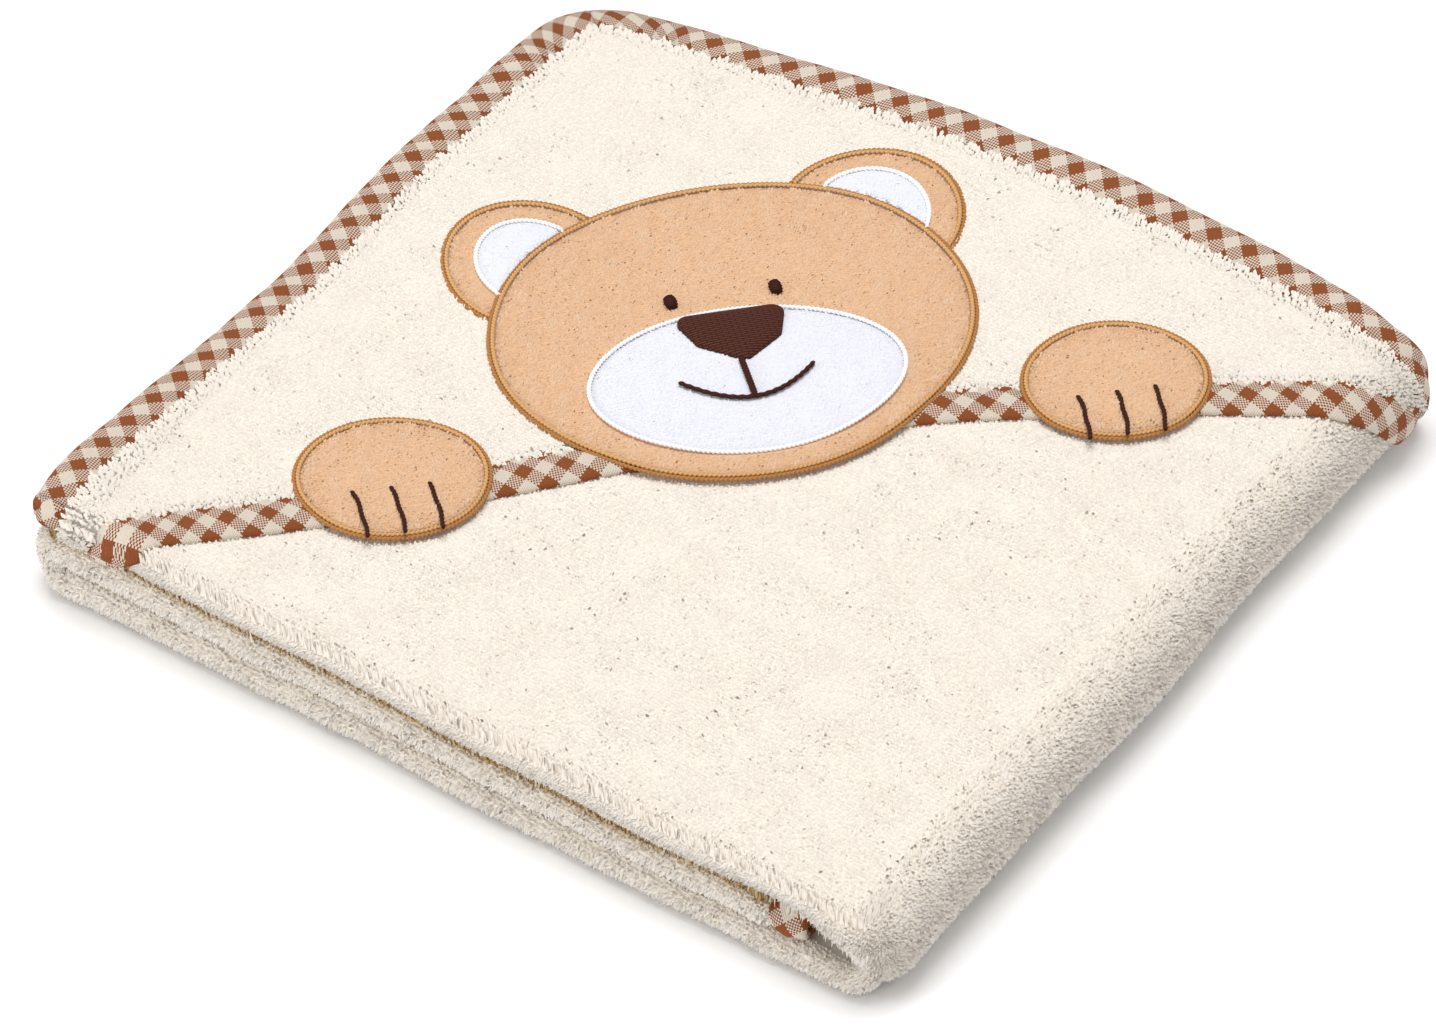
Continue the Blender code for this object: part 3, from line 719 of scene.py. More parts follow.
def fill_material(name, light, deep):
    """Fill stitch of the nose: rows of thread side by side, with staggered needle holes between them; the rows
    are painted lighter as highlights and the holes dark as shade.
    """
    made, tree, shader = new_material(name, 0.6, 0.0, 0.10)
    where = node(tree, "ShaderNodeUVMap", {"uv_map": "UVMap"}).outputs[0]
    stitch = {"Brick Width": 0.0032, "Row Height": 0.00085, "Mortar Size": 0.00022}
    brick = node(tree, "ShaderNodeTexBrick", {"Scale": 1.0, "Mortar Smooth": 0.7, **stitch}, Vector=where)
    share = math_node(tree, "SUBTRACT", 1.0, brick.outputs["Fac"])
    fine = node(tree, "ShaderNodeTexNoise", {"Scale": 1500.0, "Detail": 1.0}, Vector=where).outputs["Fac"]
    level = math_node(tree, "MULTIPLY_ADD", fine, 0.4, math_node(tree, "MULTIPLY", share, 0.7))
    tree.links.new(mix(tree, level, deep, light), shader.inputs["Base Color"])
    tree.links.new(bump(tree, share, 0.00018), shader.inputs["Normal"])
    return made


MADE = {}


def material(name):
    """The scene's materials by name, each made once."""
    look = colours()
    makers = {
        "terry_cotton_pile": lambda n: pile_material(n, look.cream, look.straw, look.terry_crease_shade),
        "terry_cotton_ground": lambda n: ground_material(n, look.cream, look.straw),
        "tan_velour_pile": lambda n: pile_material(n, look.tan, look.bark, look.bark, 0.006),
        "tan_velour_ground": lambda n: ground_material(n, look.tan, look.bark),
        "white_velour_pile": lambda n: pile_material(n, look.white, look.mist, look.mist, 0.008),
        "white_velour_ground": lambda n: ground_material(n, look.white, look.mist),
        "gingham_cotton_tape": gingham_material,
        "gold_rayon_thread": lambda n: satin_material(n, look.gold, look.amber),
        # The inner cord: the gold thread painted paler as lit, with the gaps between its stitches in the outer
        # cord's gold.
        "gold_pale_rayon_thread": lambda n: satin_material(n, look.pale, look.gold),
        # The white thread, painted pure white on each stitch's swell as a highlight.
        "white_rayon_thread": lambda n: satin_material(n, (1.0, 1.0, 1.0), look.white),
        "dark_rayon_thread": lambda n: satin_material(n, look.cocoa, look.soot, 0.08),
        "cocoa_rayon_fill": lambda n: fill_material(n, look.nose, look.soot),
    }
    if name not in MADE:
        MADE[name] = makers[name](name)
    return MADE[name]


# ---- pieces -----------------------------------------------------------------------------------


def dress(thing, finish, body, stands_for=()):
    """Give a piece its material and slot, tie it to its body (a piece of the strip's lower or upper length
    stays in place in the world), and hide the parts it stands for.
    """
    thing.data.materials.append(material(finish))
    if body in ("lower", "upper"):
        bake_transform(thing)
    else:
        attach(thing, body)
    if stands_for:
        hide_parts(*stands_for)
    return thing


def bed(s, t):
    """How far the matted base of the pile stands over the woven ground: full where the cloth lies free
    and nothing where it is pressed between layers, under a tape or on the floor."""
    beyond = T_LIP - t
    round_lip = ramp(beyond, 0.0, 0.004) * (1 - ramp(beyond, math.pi * LIP - 0.004, math.pi * LIP))
    outside = 1 - ramp(s, S_BOTTOM - 0.012, S_BOTTOM)
    turning = ramp(s, S_TURN, S_TURN + 0.010) * (1 - ramp(s, S_TUCKED - 0.010, S_TUCKED))
    flat = np.maximum(outside, turning) * (1 - ramp(beyond, 0.0, 0.004))
    flat = flat * (1 - ramp(t, HALF - 0.014, HALF - 0.011))
    ends = ramp(s + HALF, 0.010, 0.013) * (1 - ramp(s, S_END - 0.014, S_END - 0.011))
    return 0.0010 * (flat + round_lip) * ends


def strip_cloth(name, s_from, s_to, body, stands_for):
    """The woven ground of one length of the folded strip, as a closed sheet on a grid of s and t."""
    s = np.unique(np.concatenate([np.arange(s_from, s_to, 0.005), np.arange(S_ROLL, S_BOTTOM, 0.0015), [s_to]]))
    if s_to > S_TURN:
        s = np.unique(np.concatenate([s, np.arange(S_TURN, S_TUCKED, 0.0015)]))
    s = s[(s >= s_from) & (s <= s_to)]
    stops = (HALF - TAPE_GRIP, T_LIP, T_INNER, T_BACK, T_MIDDLE, T_END + TAPE_GRIP)
    counts = (70, 12, 50, 9, 40)
    t = [np.linspace(a, b, count) for a, b, count in zip(stops, stops[1:], counts)]
    t = np.unique(np.concatenate(t))
    s, t = np.meshgrid(s, t, indexing="ij")
    uv = np.stack([s, t], axis=-1)
    matted = MIDDLE + GROUND + bed(s, t) + 0.00012 * waves(s, t, 0.006, 41)
    thing = shell(name, settle(place(s, t, matted)), settle(place(s, t, MIDDLE - GROUND)), uv)
    return dress(thing, "terry_cotton_ground", body, stands_for)


def strip_pile(name, span, body, fluff=1.0, sparse=1.0, keep=None, seed=1, soften=SOFTEN, off=None):
    """Terry locks over a span of the strip's outer face, leaning together in slow swirls.

    fluff scales their height and sparse their spacing; keep says where they grow."""
    size = sizes()
    rng = np.random.default_rng(seed)
    s, t = scatter(span, size.step * sparse, size.row * sparse, rng)
    if keep is not None:
        wanted = keep(s, t)
        s, t = s[wanted], t[wanted]
    height = size.pile * fluff * rng.uniform(0.75, 1.20, len(s)) * (1 + 0.10 * waves(s, t, 0.016, 21))
    width = size.lock * sparse**0.9 * rng.uniform(0.85, 1.2, len(s))
    press = 1.0 if fluff > 0.6 else 2.2
    wild = 0.14 if soften > 0.8 else 0.26
    lean_s = press * (0.05 * waves(s, t, 0.026, 7) + rng.normal(0, wild, len(s)))
    lean_t = press * (0.05 * waves(s, t, 0.030, 8) + rng.normal(0, wild, len(s)))
    reach = np.minimum(HALF - t, s + HALF)
    edge = ramp(0.016 - reach, 0.0, 0.004)
    lean_s = lean_s - np.where(s + HALF < HALF - t, edge, 0) * 0.5
    lean_t = lean_t + np.where(s + HALF >= HALF - t, edge, 0) * 0.5 * (t > T_LIP)
    root = MIDDLE + GROUND - 0.0002 + bed(s, t) if off is None else np.full(len(s), off)
    thing = locks(name, s, t, root, height, width, lean_s, lean_t, rng, span, soften)
    return dress(thing, "terry_cotton_pile", body)


def open_terry(s, t):
    """Where the towel's own terry shows on the top face: beyond the hem and clear of the patches."""
    u, v = to_bear(s, t)
    return (v < hem_line(u) - 0.0053) & ~on_bear(u, v, -0.0007) & (t < HALF - 0.0102) & (s > -HALF + 0.0102)


def hood_terry(s, t):
    """Where the hood's terry shows: behind the hem, inside the edge bindings and clear of the patches."""
    u, v = to_bear(s, t)
    jag = 0.0006 * waves(s, t, 0.004, 31)
    inside = (t < HALF - 0.0109 + jag) & (s > -HALF + 0.0109 + jag)
    return (v > hem_line(u) + 0.0047 + jag) & ~on_bear(u, v, -0.0006) & inside


def tape(name, along, profile, where, finish_body, stands_for, pucker=0.00022, seed=1):
    """Gingham tape: a smoothed profile of (distance in from the edge, height) carried along an edge.

    where(along, distance, height) gives (s, t, off). A slow ripple along the tape makes it pucker."""
    line = smooth_line(profile)
    sides = ribbon(line, 0.00022)
    travelled = np.concatenate([[0], np.cumsum(np.linalg.norm(np.diff(line, axis=0), axis=1))])
    grids = []
    for side in sides:
        a, d = np.meshgrid(along, side[:, 0], indexing="ij")
        height = np.broadcast_to(side[:, 1], a.shape)
        ripple = waves(a, d * 0.5, 0.009, seed) * ramp(d, 0.0, 0.003) + waves(a, 0 * a, 0.03, seed + 1)
        grids.append(settle(place(*where(a, d, height + ripple * pucker))))
    uv = np.stack(np.meshgrid(along, travelled, indexing="ij"), axis=-1)
    thing = shell(name, grids[0], grids[1], uv)
    return dress(thing, "gingham_cotton_tape", finish_body, stands_for)


def fold_profile(width, high, low, puff=0.0004):
    """A tape folded over an edge at distance 0: stitched flat inside, puffed in the middle, round outside."""
    mid = (high + low) / 2
    return [
        (width, high - 0.0003),
        (width - 0.0008, high - 0.0004),
        (width - 0.0016, high - 0.0003),
        (width * 0.7, high + puff),
        (width * 0.35, high + puff),
        (0.0012, high - 0.0002),
        (-0.0002, mid + 0.0006),
        (-0.0002, mid - 0.0006),
        (0.0012, low + 0.0002),
        (width * 0.5, low),
        (width, low),
    ]


def under_head(u, v):
    """How far an ear's pieces sink where the head lies over them: a smooth step just inside its edge."""
    local = np.stack([u - HEAD[0], v - HEAD[1]], axis=-1)
    local = spin(local.reshape(-1, 2), -HEAD_TURN).reshape(local.shape)
    share = np.sqrt((local[..., 0] / HEAD[2]) ** 2 + (local[..., 1] / HEAD[3]) ** 2)
    return 0.0016 * ramp(1 - share, -0.01, 0.03)


def disc(name, shape, turn, low, rise, finish, stands_for, rings, around, trim, sink=None):
    """A domed patch: rings of an ellipse, rising as 1 - r^4 towards the middle, closed flat below."""
    rising = np.linspace(0.04, 1, rings)
    shares = np.concatenate([rising, np.linspace(1, 0.04, 4)])
    heights = np.concatenate([low + 0.0006 + rise * (1 - rising**4), np.full(4, low)])
    angle = np.linspace(0, 2 * math.pi, around, endpoint=False)
    rim = spin(np.stack([(shape[2] - trim) * np.cos(angle), (shape[3] - trim) * np.sin(angle)], axis=1), turn)
    points = rim[None] * shares[:, None, None] + np.array(shape[:2])
    s, t = to_flat(points[..., 0], points[..., 1])
    heights = np.broadcast_to(heights[:, None], s.shape)
    if sink is not None:
        heights = heights - sink(points[..., 0], points[..., 1])
    grid = settle(place(s, t, heights))
    thing = rounds(name, grid, points)
    return dress(thing, finish, "top_flap", stands_for)


def plush(name, shape, turn, foot, rise, finish, seed, trim, keep=None, fluff=1.0):
    """Short velour over a patch: fine locks that lie down the patch in shallow ripples."""
    size = sizes()
    rng = np.random.default_rng(seed)
    reach = max(shape[2], shape[3])
    span = (shape[0] - reach, shape[0] + reach, shape[1] - reach, shape[1] + reach)
    u, v = scatter(span, size.plush_step, size.plush_step * 1.05, rng)
    good = within(u, v, shape, -trim, turn)
    if keep is not None:
        good = good & keep(u, v)
    u, v = u[good], v[good]
    local = spin(np.stack([u - shape[0], v - shape[1]], axis=-1), -turn) / np.array([shape[2], shape[3]])
    share = np.minimum((local**2).sum(axis=1), 1)
    off = foot + rise * (1 - share**2) - 0.0002
    s, t = to_flat(u, v)
    ripple = waves(u * 0.4, v, 0.0026, 51) + 0.5 * waves(u, v, 0.0090, 52)
    height = size.plush * fluff * (1 + 0.30 * ripple) * rng.uniform(0.8, 1.15, len(u))
    lean_u = NAP[0] + 0.15 * waves(u, v, 0.014, 53) + rng.normal(0, 0.16, len(u))
    lean_v = NAP[1] + 0.26 * ripple + rng.normal(0, 0.16, len(u))
    lean_s, lean_t = to_flat(lean_u, lean_v)
    width = rng.uniform(0.85, 1.15, len(u)) * size.plush_step * 0.56
    s_span = (s.min(), s.max(), t.min(), t.max())
    # Painted shade: the plush's colour darkens in bands along the ripples of its nap.
    shade = 0.86 + 0.30 * np.clip(ripple, -1.6, 1.0)
    thing = locks(name, s, t, off, height, width, lean_s, lean_t, rng, s_span, 0.66, shade)
    return dress(thing, finish, "top_flap")


def arc_of(shape, turn, trim, start, end, step):
    """Points (u, v) and outward directions along an ellipse between two angles, evenly spaced."""
    a, b = shape[2] - trim, shape[3] - trim
    fine = np.linspace(start, end, 4000)
    rim = np.stack([a * np.cos(fine), b * np.sin(fine)], axis=1)
    run = np.concatenate([[0], np.cumsum(np.linalg.norm(np.diff(rim, axis=0), axis=1))])
    at = np.interp(np.linspace(0, run[-1], max(12, int(run[-1] / step)) + 1), run, fine)
    rim = np.stack([a * np.cos(at), b * np.sin(at)], axis=1)
    out = np.stack([np.cos(at) / a, np.sin(at) / b], axis=1)
    out /= np.linalg.norm(out, axis=1)[:, None]
    length_along = np.interp(at, fine, run)
    return spin(rim, turn) + np.array(shape[:2]), spin(out, turn), length_along


def stitched_cord(points, out, along, off, radius):
    """Rings of a padded satin cord: an ellipse section whose radius swells with every stitch.

    r = R (1 + 0.24 sin(2 pi along / pitch + slant cos angle)), squashed a little in height."""
    angle = np.linspace(0, 2 * math.pi, 8, endpoint=False)
    swell = 1 + 0.24 * np.sin(2 * math.pi * along[:, None] / CORD_PITCH + CORD_SLANT * np.cos(angle)[None])
    across = radius * swell * np.cos(angle)
    height = radius * CORD_FLAT * swell * np.sin(angle)
    uvs = points[:, None, :] + out[:, None, :] * across[..., None]
    s, t = to_flat(uvs[..., 0], uvs[..., 1])
    # Painted highlight and shade: the cord's colour level rises where each stitch swells and falls between
    # stitches.
    tone = (swell - 0.76) / 0.48
    return settle(place(s, t, np.reshape(off, (-1, 1)) + height)), tone


def border(
    name, shape, turn, trim, off, finish, stands_for, start=0.0, end=2 * math.pi, radius=None, sink=None
):
    """One satin cord along an ellipse, closed on itself or running between two angles."""
    radius = radius or sizes().cord
    whole = abs(end - start - 2 * math.pi) < 1e-6
    points, out, along = arc_of(shape, turn, trim, start, end, 0.00022)
    if whole:
        points, out, along = points[:-1], out[:-1], along[:-1]
    low = off - 0.0008 * ramp(hem_line(points[:, 0]) - points[:, 1], 0.0, 0.012)
    if sink is not None:
        low = low - sink(points[:, 0], points[:, 1])
    grid, tone = stitched_cord(points, out, along, low, radius)
    if whole:
        thing = rounds(name, grid[:, ::-1], loop=True, tone=tone[:, ::-1])
    else:
        taper = np.concatenate([tone.ravel(), [0.5, 0.5]])
        thing = rounds(name, grid[:, ::-1], tone=taper)
    return dress(thing, finish, "top_flap", stands_for)


def stroke(name, line, radius, off, stands_for, pitch, ends):
    """An embroidered line in dark thread: a flattened cord along a path, swelling at each stitch.

    pitch is one stitch's length and ends is how thin the line gets at its ends."""
    line = np.asarray(line, float)
    run = np.concatenate([[0], np.cumsum(np.linalg.norm(np.diff(line, axis=0), axis=1))])
    at = np.linspace(0, run[-1], max(16, int(run[-1] / 0.00022)))
    points = np.stack([np.interp(at, run, line[:, k]) for k in (0, 1)], axis=1)
    along = np.gradient(points, axis=0)
    along /= np.linalg.norm(along, axis=1)[:, None]
    out = np.stack([along[:, 1], -along[:, 0]], axis=1)
    end = np.minimum(at, run[-1] - at) / (radius * 2)
    slim = ends + (1 - ends) * np.sqrt(np.clip(1 - (1 - np.clip(end, 0, 1)) ** 2, 0, 1))
    angle = np.linspace(0, 2 * math.pi, 8, endpoint=False)
    swell = slim[:, None] * (1 + 0.16 * np.sin(2 * math.pi * at[:, None] / pitch + 1.4 * np.cos(angle)[None]))
    uvs = points[:, None, :] + out[:, None, :] * (radius * swell * np.cos(angle))[..., None]
    s, t = to_flat(uvs[..., 0], uvs[..., 1])
    grid = settle(place(s, t, np.reshape(off, (-1, 1)) + radius * 0.7 * swell * np.sin(angle)))
    # Painted highlight and shade: the line's colour level rises where each stitch swells and falls between
    # stitches.
    tone = np.concatenate([np.clip((swell - 0.8) / 0.4, 0, 1).ravel(), [0.5, 0.5]])
    thing = rounds(name, grid[:, ::-1], tone=tone)
    return dress(thing, "dark_rayon_thread", "top_flap", stands_for)


def rounded(corners, radius, steps=8):
    """A convex polygon, given anticlockwise, with every corner turned into an arc."""
    corners = np.asarray(corners, float)
    outline = []
    for before, corner, after in zip(np.roll(corners, 1, 0), corners, np.roll(corners, -1, 0)):
        back, ahead = before - corner, after - corner
        back, ahead = back / np.linalg.norm(back), ahead / np.linalg.norm(ahead)
        half = math.acos(np.clip(back @ ahead, -1, 1)) / 2
        middle = (back + ahead) / np.linalg.norm(back + ahead)
        centre = corner + middle * radius / math.sin(half)
        first = corner + back * radius / math.tan(half) - centre
        outline.extend(centre + spin([first], a)[0] for a in np.linspace(0, math.pi - 2 * half, steps))
    return np.array(outline)


def face(points):
    """Turn points with the face, about the head's centre."""
    return spin(points, FACE_TURN, HEAD[:2])


# ---- operators --------------------------------------------------------------------------------


class PieceOperator(bpy.types.Operator):
    """Shared by every step: build() does the work, and an error stops the step."""

    bl_options = {"REGISTER", "UNDO"}

    def execute(self, context):
        before = len(bpy.data.objects)
        self.build()
        if len(bpy.data.objects) == before:
            raise RuntimeError(self.bl_label + " made nothing")
        return {"FINISHED"}


class TOWEL_OT_cloth(PieceOperator):
    """Lay the folded towel and grow its terry pile"""

    bl_idname = "object.towel_cloth"
    bl_label = "Towel"

    def build(self):
        stands_for = ["towel_base_cloth", "towel_spine_cloth"]
        lower = strip_cloth("towel_lower_cloth", S_MID, S_END, "lower", stands_for)
        upper = strip_cloth("towel_upper_cloth", -HALF + TAPE_GRIP, S_MID, "upper", ["towel_top_cloth"])
        edge, start, stop = HALF - 0.0112, -HALF + 0.011, S_END - 0.011
        # Each stretch of pile: span, height and spacing against the usual, where it grows, seed, softness.
        near = [
            ("top_pile_left", (-HALF, TOP_SPLIT, T_LIP, HALF), 1.0, 1.0, open_terry, 11, SOFTEN),
            ("top_pile_right", (TOP_SPLIT, S_ROLL, T_LIP, HALF), 1.0, 1.0, open_terry, 12, SOFTEN),
            ("top_lip_pile", (start, S_MID, T_INNER, T_LIP), 1.4, 0.80, clear_of_hem, 13, 0.68),
            ("top_roll_pile", (S_ROLL, S_MID, T_LIP, edge), 1.4, 1.0, clear_of_hem, 14, 0.60),
            ("top_inner_pile", (-HALF + 0.012, S_ROLL, T_BACK, T_INNER), 0.25, 2.6, None, 15, SOFTEN),
            ("top_back_pile", (start, S_MID, T_MIDDLE, T_BACK), 0.45, 1.4, None, 16, SOFTEN),
        ]
        far = [
            ("roll_pile", (S_MID, S_BOTTOM, T_LIP, edge), 1.4, 1.0, off_floor, 17, TOUSLED),
            ("lower_lip_pile", (S_MID, stop, T_INNER, T_LIP), 1.5, 0.85, off_floor, 18, TOUSLED),
            ("turn_pile", (S_TURN, S_TUCKED, T_LIP, edge), 1.2, 1.0, off_floor, 19, TOUSLED),
            ("bottom_pile", (S_BOTTOM, S_TURN, T_LIP, edge), 0.25, 2.6, None, 20, SOFTEN),
            ("tucked_pile", (S_TUCKED, stop, T_LIP, edge), 0.25, 2.6, None, 21, SOFTEN),
            ("lower_back_pile", (S_MID, stop, T_MIDDLE, T_BACK), 0.45, 1.4, None, 22, SOFTEN),
        ]
        near = [strip_pile(name, span, "upper", *rest) for name, span, *rest in near]
        far = [strip_pile(name, span, "lower", *rest) for name, span, *rest in far]


def clear_of_hem(s, t):
    """Keeps the folds' terry away from the hem's ends."""
    u, v = to_bear(s, t)
    covered = (np.abs(v - hem_line(u)) < 0.0060) & (t < 0.1) & (s < 0)
    behind = (v > hem_line(u) - 0.0060) & (s > 0.1)
    return ~covered & ~behind


def off_floor(s, t):
    """Keeps pile from standing where the packet presses on what it lies on."""
    return place(s, t, 0.0)[..., 2] > 0.0006


class TOWEL_OT_hood(PieceOperator):
    """Lay the hood's terry triangle and its pile"""

    bl_idname = "object.towel_hood"
    bl_label = "Hood"

    def build(self):
        tip = HALF / DIAGONAL - 0.004
        share = np.linspace(0, 1, 64)[:, None]
        side = np.linspace(-1, 1, 100)[None, :]
        u = side * 0.184 * (1 - share)
        v = hem_line(side * 0.184) * (1 - share) + (tip - np.abs(side) * 0.002) * share
        s, t = to_flat(u, v)
        s, t = np.maximum(s, -HALF + 0.002), np.minimum(t, HALF - 0.002)
        uv = np.stack([u, v], axis=-1)
        from_edge = np.minimum(HALF - t, s + HALF)
        sewn = np.maximum(ramp(0.0090 - v + hem_line(u), 0.0, 0.0030), ramp(0.0150 - from_edge, 0.0, 0.0030))
        outer, inner = settle(place(s, t, 0.0026 - 0.0014 * sewn)), settle(place(s, t, 0.0007))
        panel = shell("hood_cloth", outer[:, ::-1], inner[:, ::-1], uv[:, ::-1])
        dress(panel, "terry_cotton_ground", "upper", ["hood_panel"])
        spans = {
            "hood_pile_left": (-HALF, -0.02, T_LIP - 0.009, HALF),
            "hood_pile_right": (-0.02, S_ROLL + 0.022, T_LIP - 0.004, HALF),
        }
        pile = [
            strip_pile(name, span, "upper", keep=hood_terry, seed=30 + number, off=0.0024)
            for number, (name, span) in enumerate(spans.items())
        ]


class TOWEL_OT_bindings(PieceOperator):
    """Fold the gingham tapes over the towel's edges and the hood's hem"""

    bl_idname = "object.towel_bindings"
    bl_label = "Bindings"

    def build(self):
        width, step = sizes().binding, 0.0012
        raised, plain = fold_profile(width, 0.0025, -LAYER), fold_profile(width, 0.0001, -LAYER)

        def right(a, d, h):
            """The long edge over the hood: its end fades down to the roll and tucks in at the corner."""
            fade = ramp(a, S_ROLL - 0.012, S_ROLL + 0.004)
            inset = np.maximum(d, 0) * (1 - ramp(a, -HALF + 0.012, -HALF + 0.040))
            return a + inset, HALF - d, h - 0.0022 * fade * ramp(h, MIDDLE, 0.0015)

        def left(a, d, h):
            """The bound end over the hood, fading down to the strip's own fold."""
            inset = np.maximum(d, 0) * ramp(a, HALF - 0.040, HALF - 0.012)
            fade = ramp(-a, -T_LIP - 0.014, -T_LIP + 0.001)
            return -HALF + d, a - inset, h - 0.0024 * fade * ramp(h, MIDDLE, 0.0015)

        def tucked(a, d, h):
            """The long edge that is folded inside."""
            return a, T_END + d, h

        def end(a, d, h):
            """The tucked third's bound end."""
            return S_END - d, a, h

        def steps(start, stop, by):
            """Stations along a tape with one at its very end."""
            return np.append(np.arange(start, stop, by), stop)

        # Each tape: stations, profile, edge, body, the nodes it stands for and its length.
        rows = [
            ("edge_binding_upper", steps(-HALF, S_MID, step), raised, right, "upper",
             ["hood_right_binding", "top_roll_binding"], S_MID + HALF),
            ("edge_binding_lower", steps(S_MID, S_END, 0.0025), plain, right_plain, "lower",
             ["base_edge_binding", "spine_edge_binding"], S_END - S_MID),
            ("hood_left_tape", np.arange(HALF, T_LIP, -step), raised, left, "upper",
             ["hood_left_binding"], HALF - T_LIP),
            ("top_end_tape", steps(T_LIP, T_END, -0.0008), plain, left_plain, "upper",
             ["top_end_binding"], T_LIP - T_END),
            ("tucked_binding_upper", np.arange(-HALF, S_MID, 0.004), plain, tucked, "upper",
             ["top_tucked_binding"], S_MID + HALF),
            ("tucked_binding_lower", np.arange(S_MID, S_END, 0.004), plain, tucked, "lower",
             ["base_tucked_binding", "spine_tucked_binding"], S_END - S_MID),
            ("tucked_end_tape", steps(HALF, T_END, -0.002), plain, end, "base",
             ["base_end_binding"], HALF - T_END),
        ]
        for number, (name, along, profile, where, body, stands_for, long) in enumerate(rows):
            thing = tape(name, along, profile, where, body, stands_for, seed=61 + number)
        self.hem(width, step)

    def hem(self, width, step):
        """The hem's tape, bowed along the hood's front edge and wrapped over both folds."""
        profile = fold_profile(width, 0.0027, 0.0002, 0.0003)

        def where(a, d, h):
            """Across the hood, pressed down where the patches cover the tape."""
            v = hem_line(a) - width / 2 + d
            s, t = to_flat(a, v)
            return s, t, h - 0.0008 * on_bear(a, v, -0.0015)

        along = np.arange(-0.187, 0.187, step)
        thing = tape("hood_hem_tape", along, profile, where, "upper", ["hood_hem_binding"], 0.00020, seed=68)


def right_plain(a, d, h):
    """A long edge without the hood: distance in from +Y."""
    return a, HALF - d, h


def left_plain(a, d, h):
    """The strip's bound end: distance in from -X."""
    return -HALF + d, a, h


def beside_head(u, v):
    """Where an ear isn't covered by the head."""
    return ~within(u, v, HEAD, 0.0, HEAD_TURN)


def patch(
    kind, side, shape, turn, heights, velour, stands_for, seed, trims,
    mesh=(10, 96), keep=None, fluff=1.0, sink=None,
):
    """An appliquéd patch: its domed ground and the plush on it.

    heights are the ground's underside, the plush's foot and the dome's rise; trims are how far ground and plush
    stop short of the outline."""
    low, foot, rise = heights
    name, fur_name = kind + side, kind + "_plush" + side
    ground = disc(name, shape, turn, low, rise, velour + "_ground", stands_for, *mesh, trims[0], sink)
    fur = plush(fur_name, shape, turn, foot, rise, velour + "_pile", seed, trims[1], keep, fluff)


def satin_border(kind, side, shape, turn, offs, stands_for, span=(0.0, 2 * math.pi), sink=None):
    """A patch's border: a gold cord on its outline and, just inside it, a cord of the same gold thread painted
    paler as its lit side; the outer one is darker as its shaded side.
    """
    trim = sizes().cord
    outer, inner = kind + "_border" + side, kind + "_inner_border" + side
    border(outer, shape, turn, trim, offs[0], "gold_rayon_thread", stands_for, *span, sink=sink)
    border(inner, shape, turn, trim * 3, offs[1], "gold_pale_rayon_thread", [], *span, sink=sink)


class TOWEL_OT_head(PieceOperator):
    """Appliqué the bear's ears and head with their satin borders"""

    bl_idname = "object.towel_head"
    bl_label = "Ears and Head"

    def build(self):
        for number, (name, shape) in enumerate(EARS.items()):
            self.ear("_" + name, shape, (shape[0], shape[1], *INNER_EAR), number)
        patch(
            "bear_head", "", HEAD, HEAD_TURN, (0.0026, 0.0032, 0.0010), "tan_velour", ["head_patch"],
            91, (0.0022, 0.0025),
            mesh=(16, 160), keep=lambda u, v: ~within(u, v, MUZZLE, 0.0004, FACE_TURN),
        )
        satin_border("bear_head", "", HEAD, HEAD_TURN, (0.0033, 0.0038), ["head_border"])

    def ear(self, side, shape, inner, number):
        """One ear: tan plush, its white inner ear, and borders that stop where the head covers them."""
        patch(
            "bear_ear", side, shape, 0.0, (0.0022, 0.0028, 0.0006), "tan_velour", ["ear" + side],
            71 + number, (0.0022, 0.0024), sink=under_head,
            keep=lambda u, v: beside_head(u, v) & ~within(u, v, inner, 0.0008),
        )
        patch(
            "bear_inner_ear", side, inner, 0.0, (0.0031, 0.0036, 0.0005), "white_velour", ["inner_ear" + side],
            81 + number, (0.0, 0.0008), sink=under_head,
            mesh=(8, 64), keep=beside_head, fluff=0.8,
        )
        facing = math.atan2(shape[1] - HEAD[1], shape[0] - HEAD[0])
        span, short = math.radians(142), math.radians(118)
        offs, ends = (0.0030, 0.0034), (facing - span, facing + span)
        satin_border("bear_ear", side, shape, 0.0, offs, ["ear_border" + side], ends, under_head)
        border(
            "bear_inner_ear_border" + side, inner, 0.0, 0.0003, 0.0041, "white_rayon_thread", [],
            facing - short, facing + short, radius=0.0006, sink=under_head,
        )


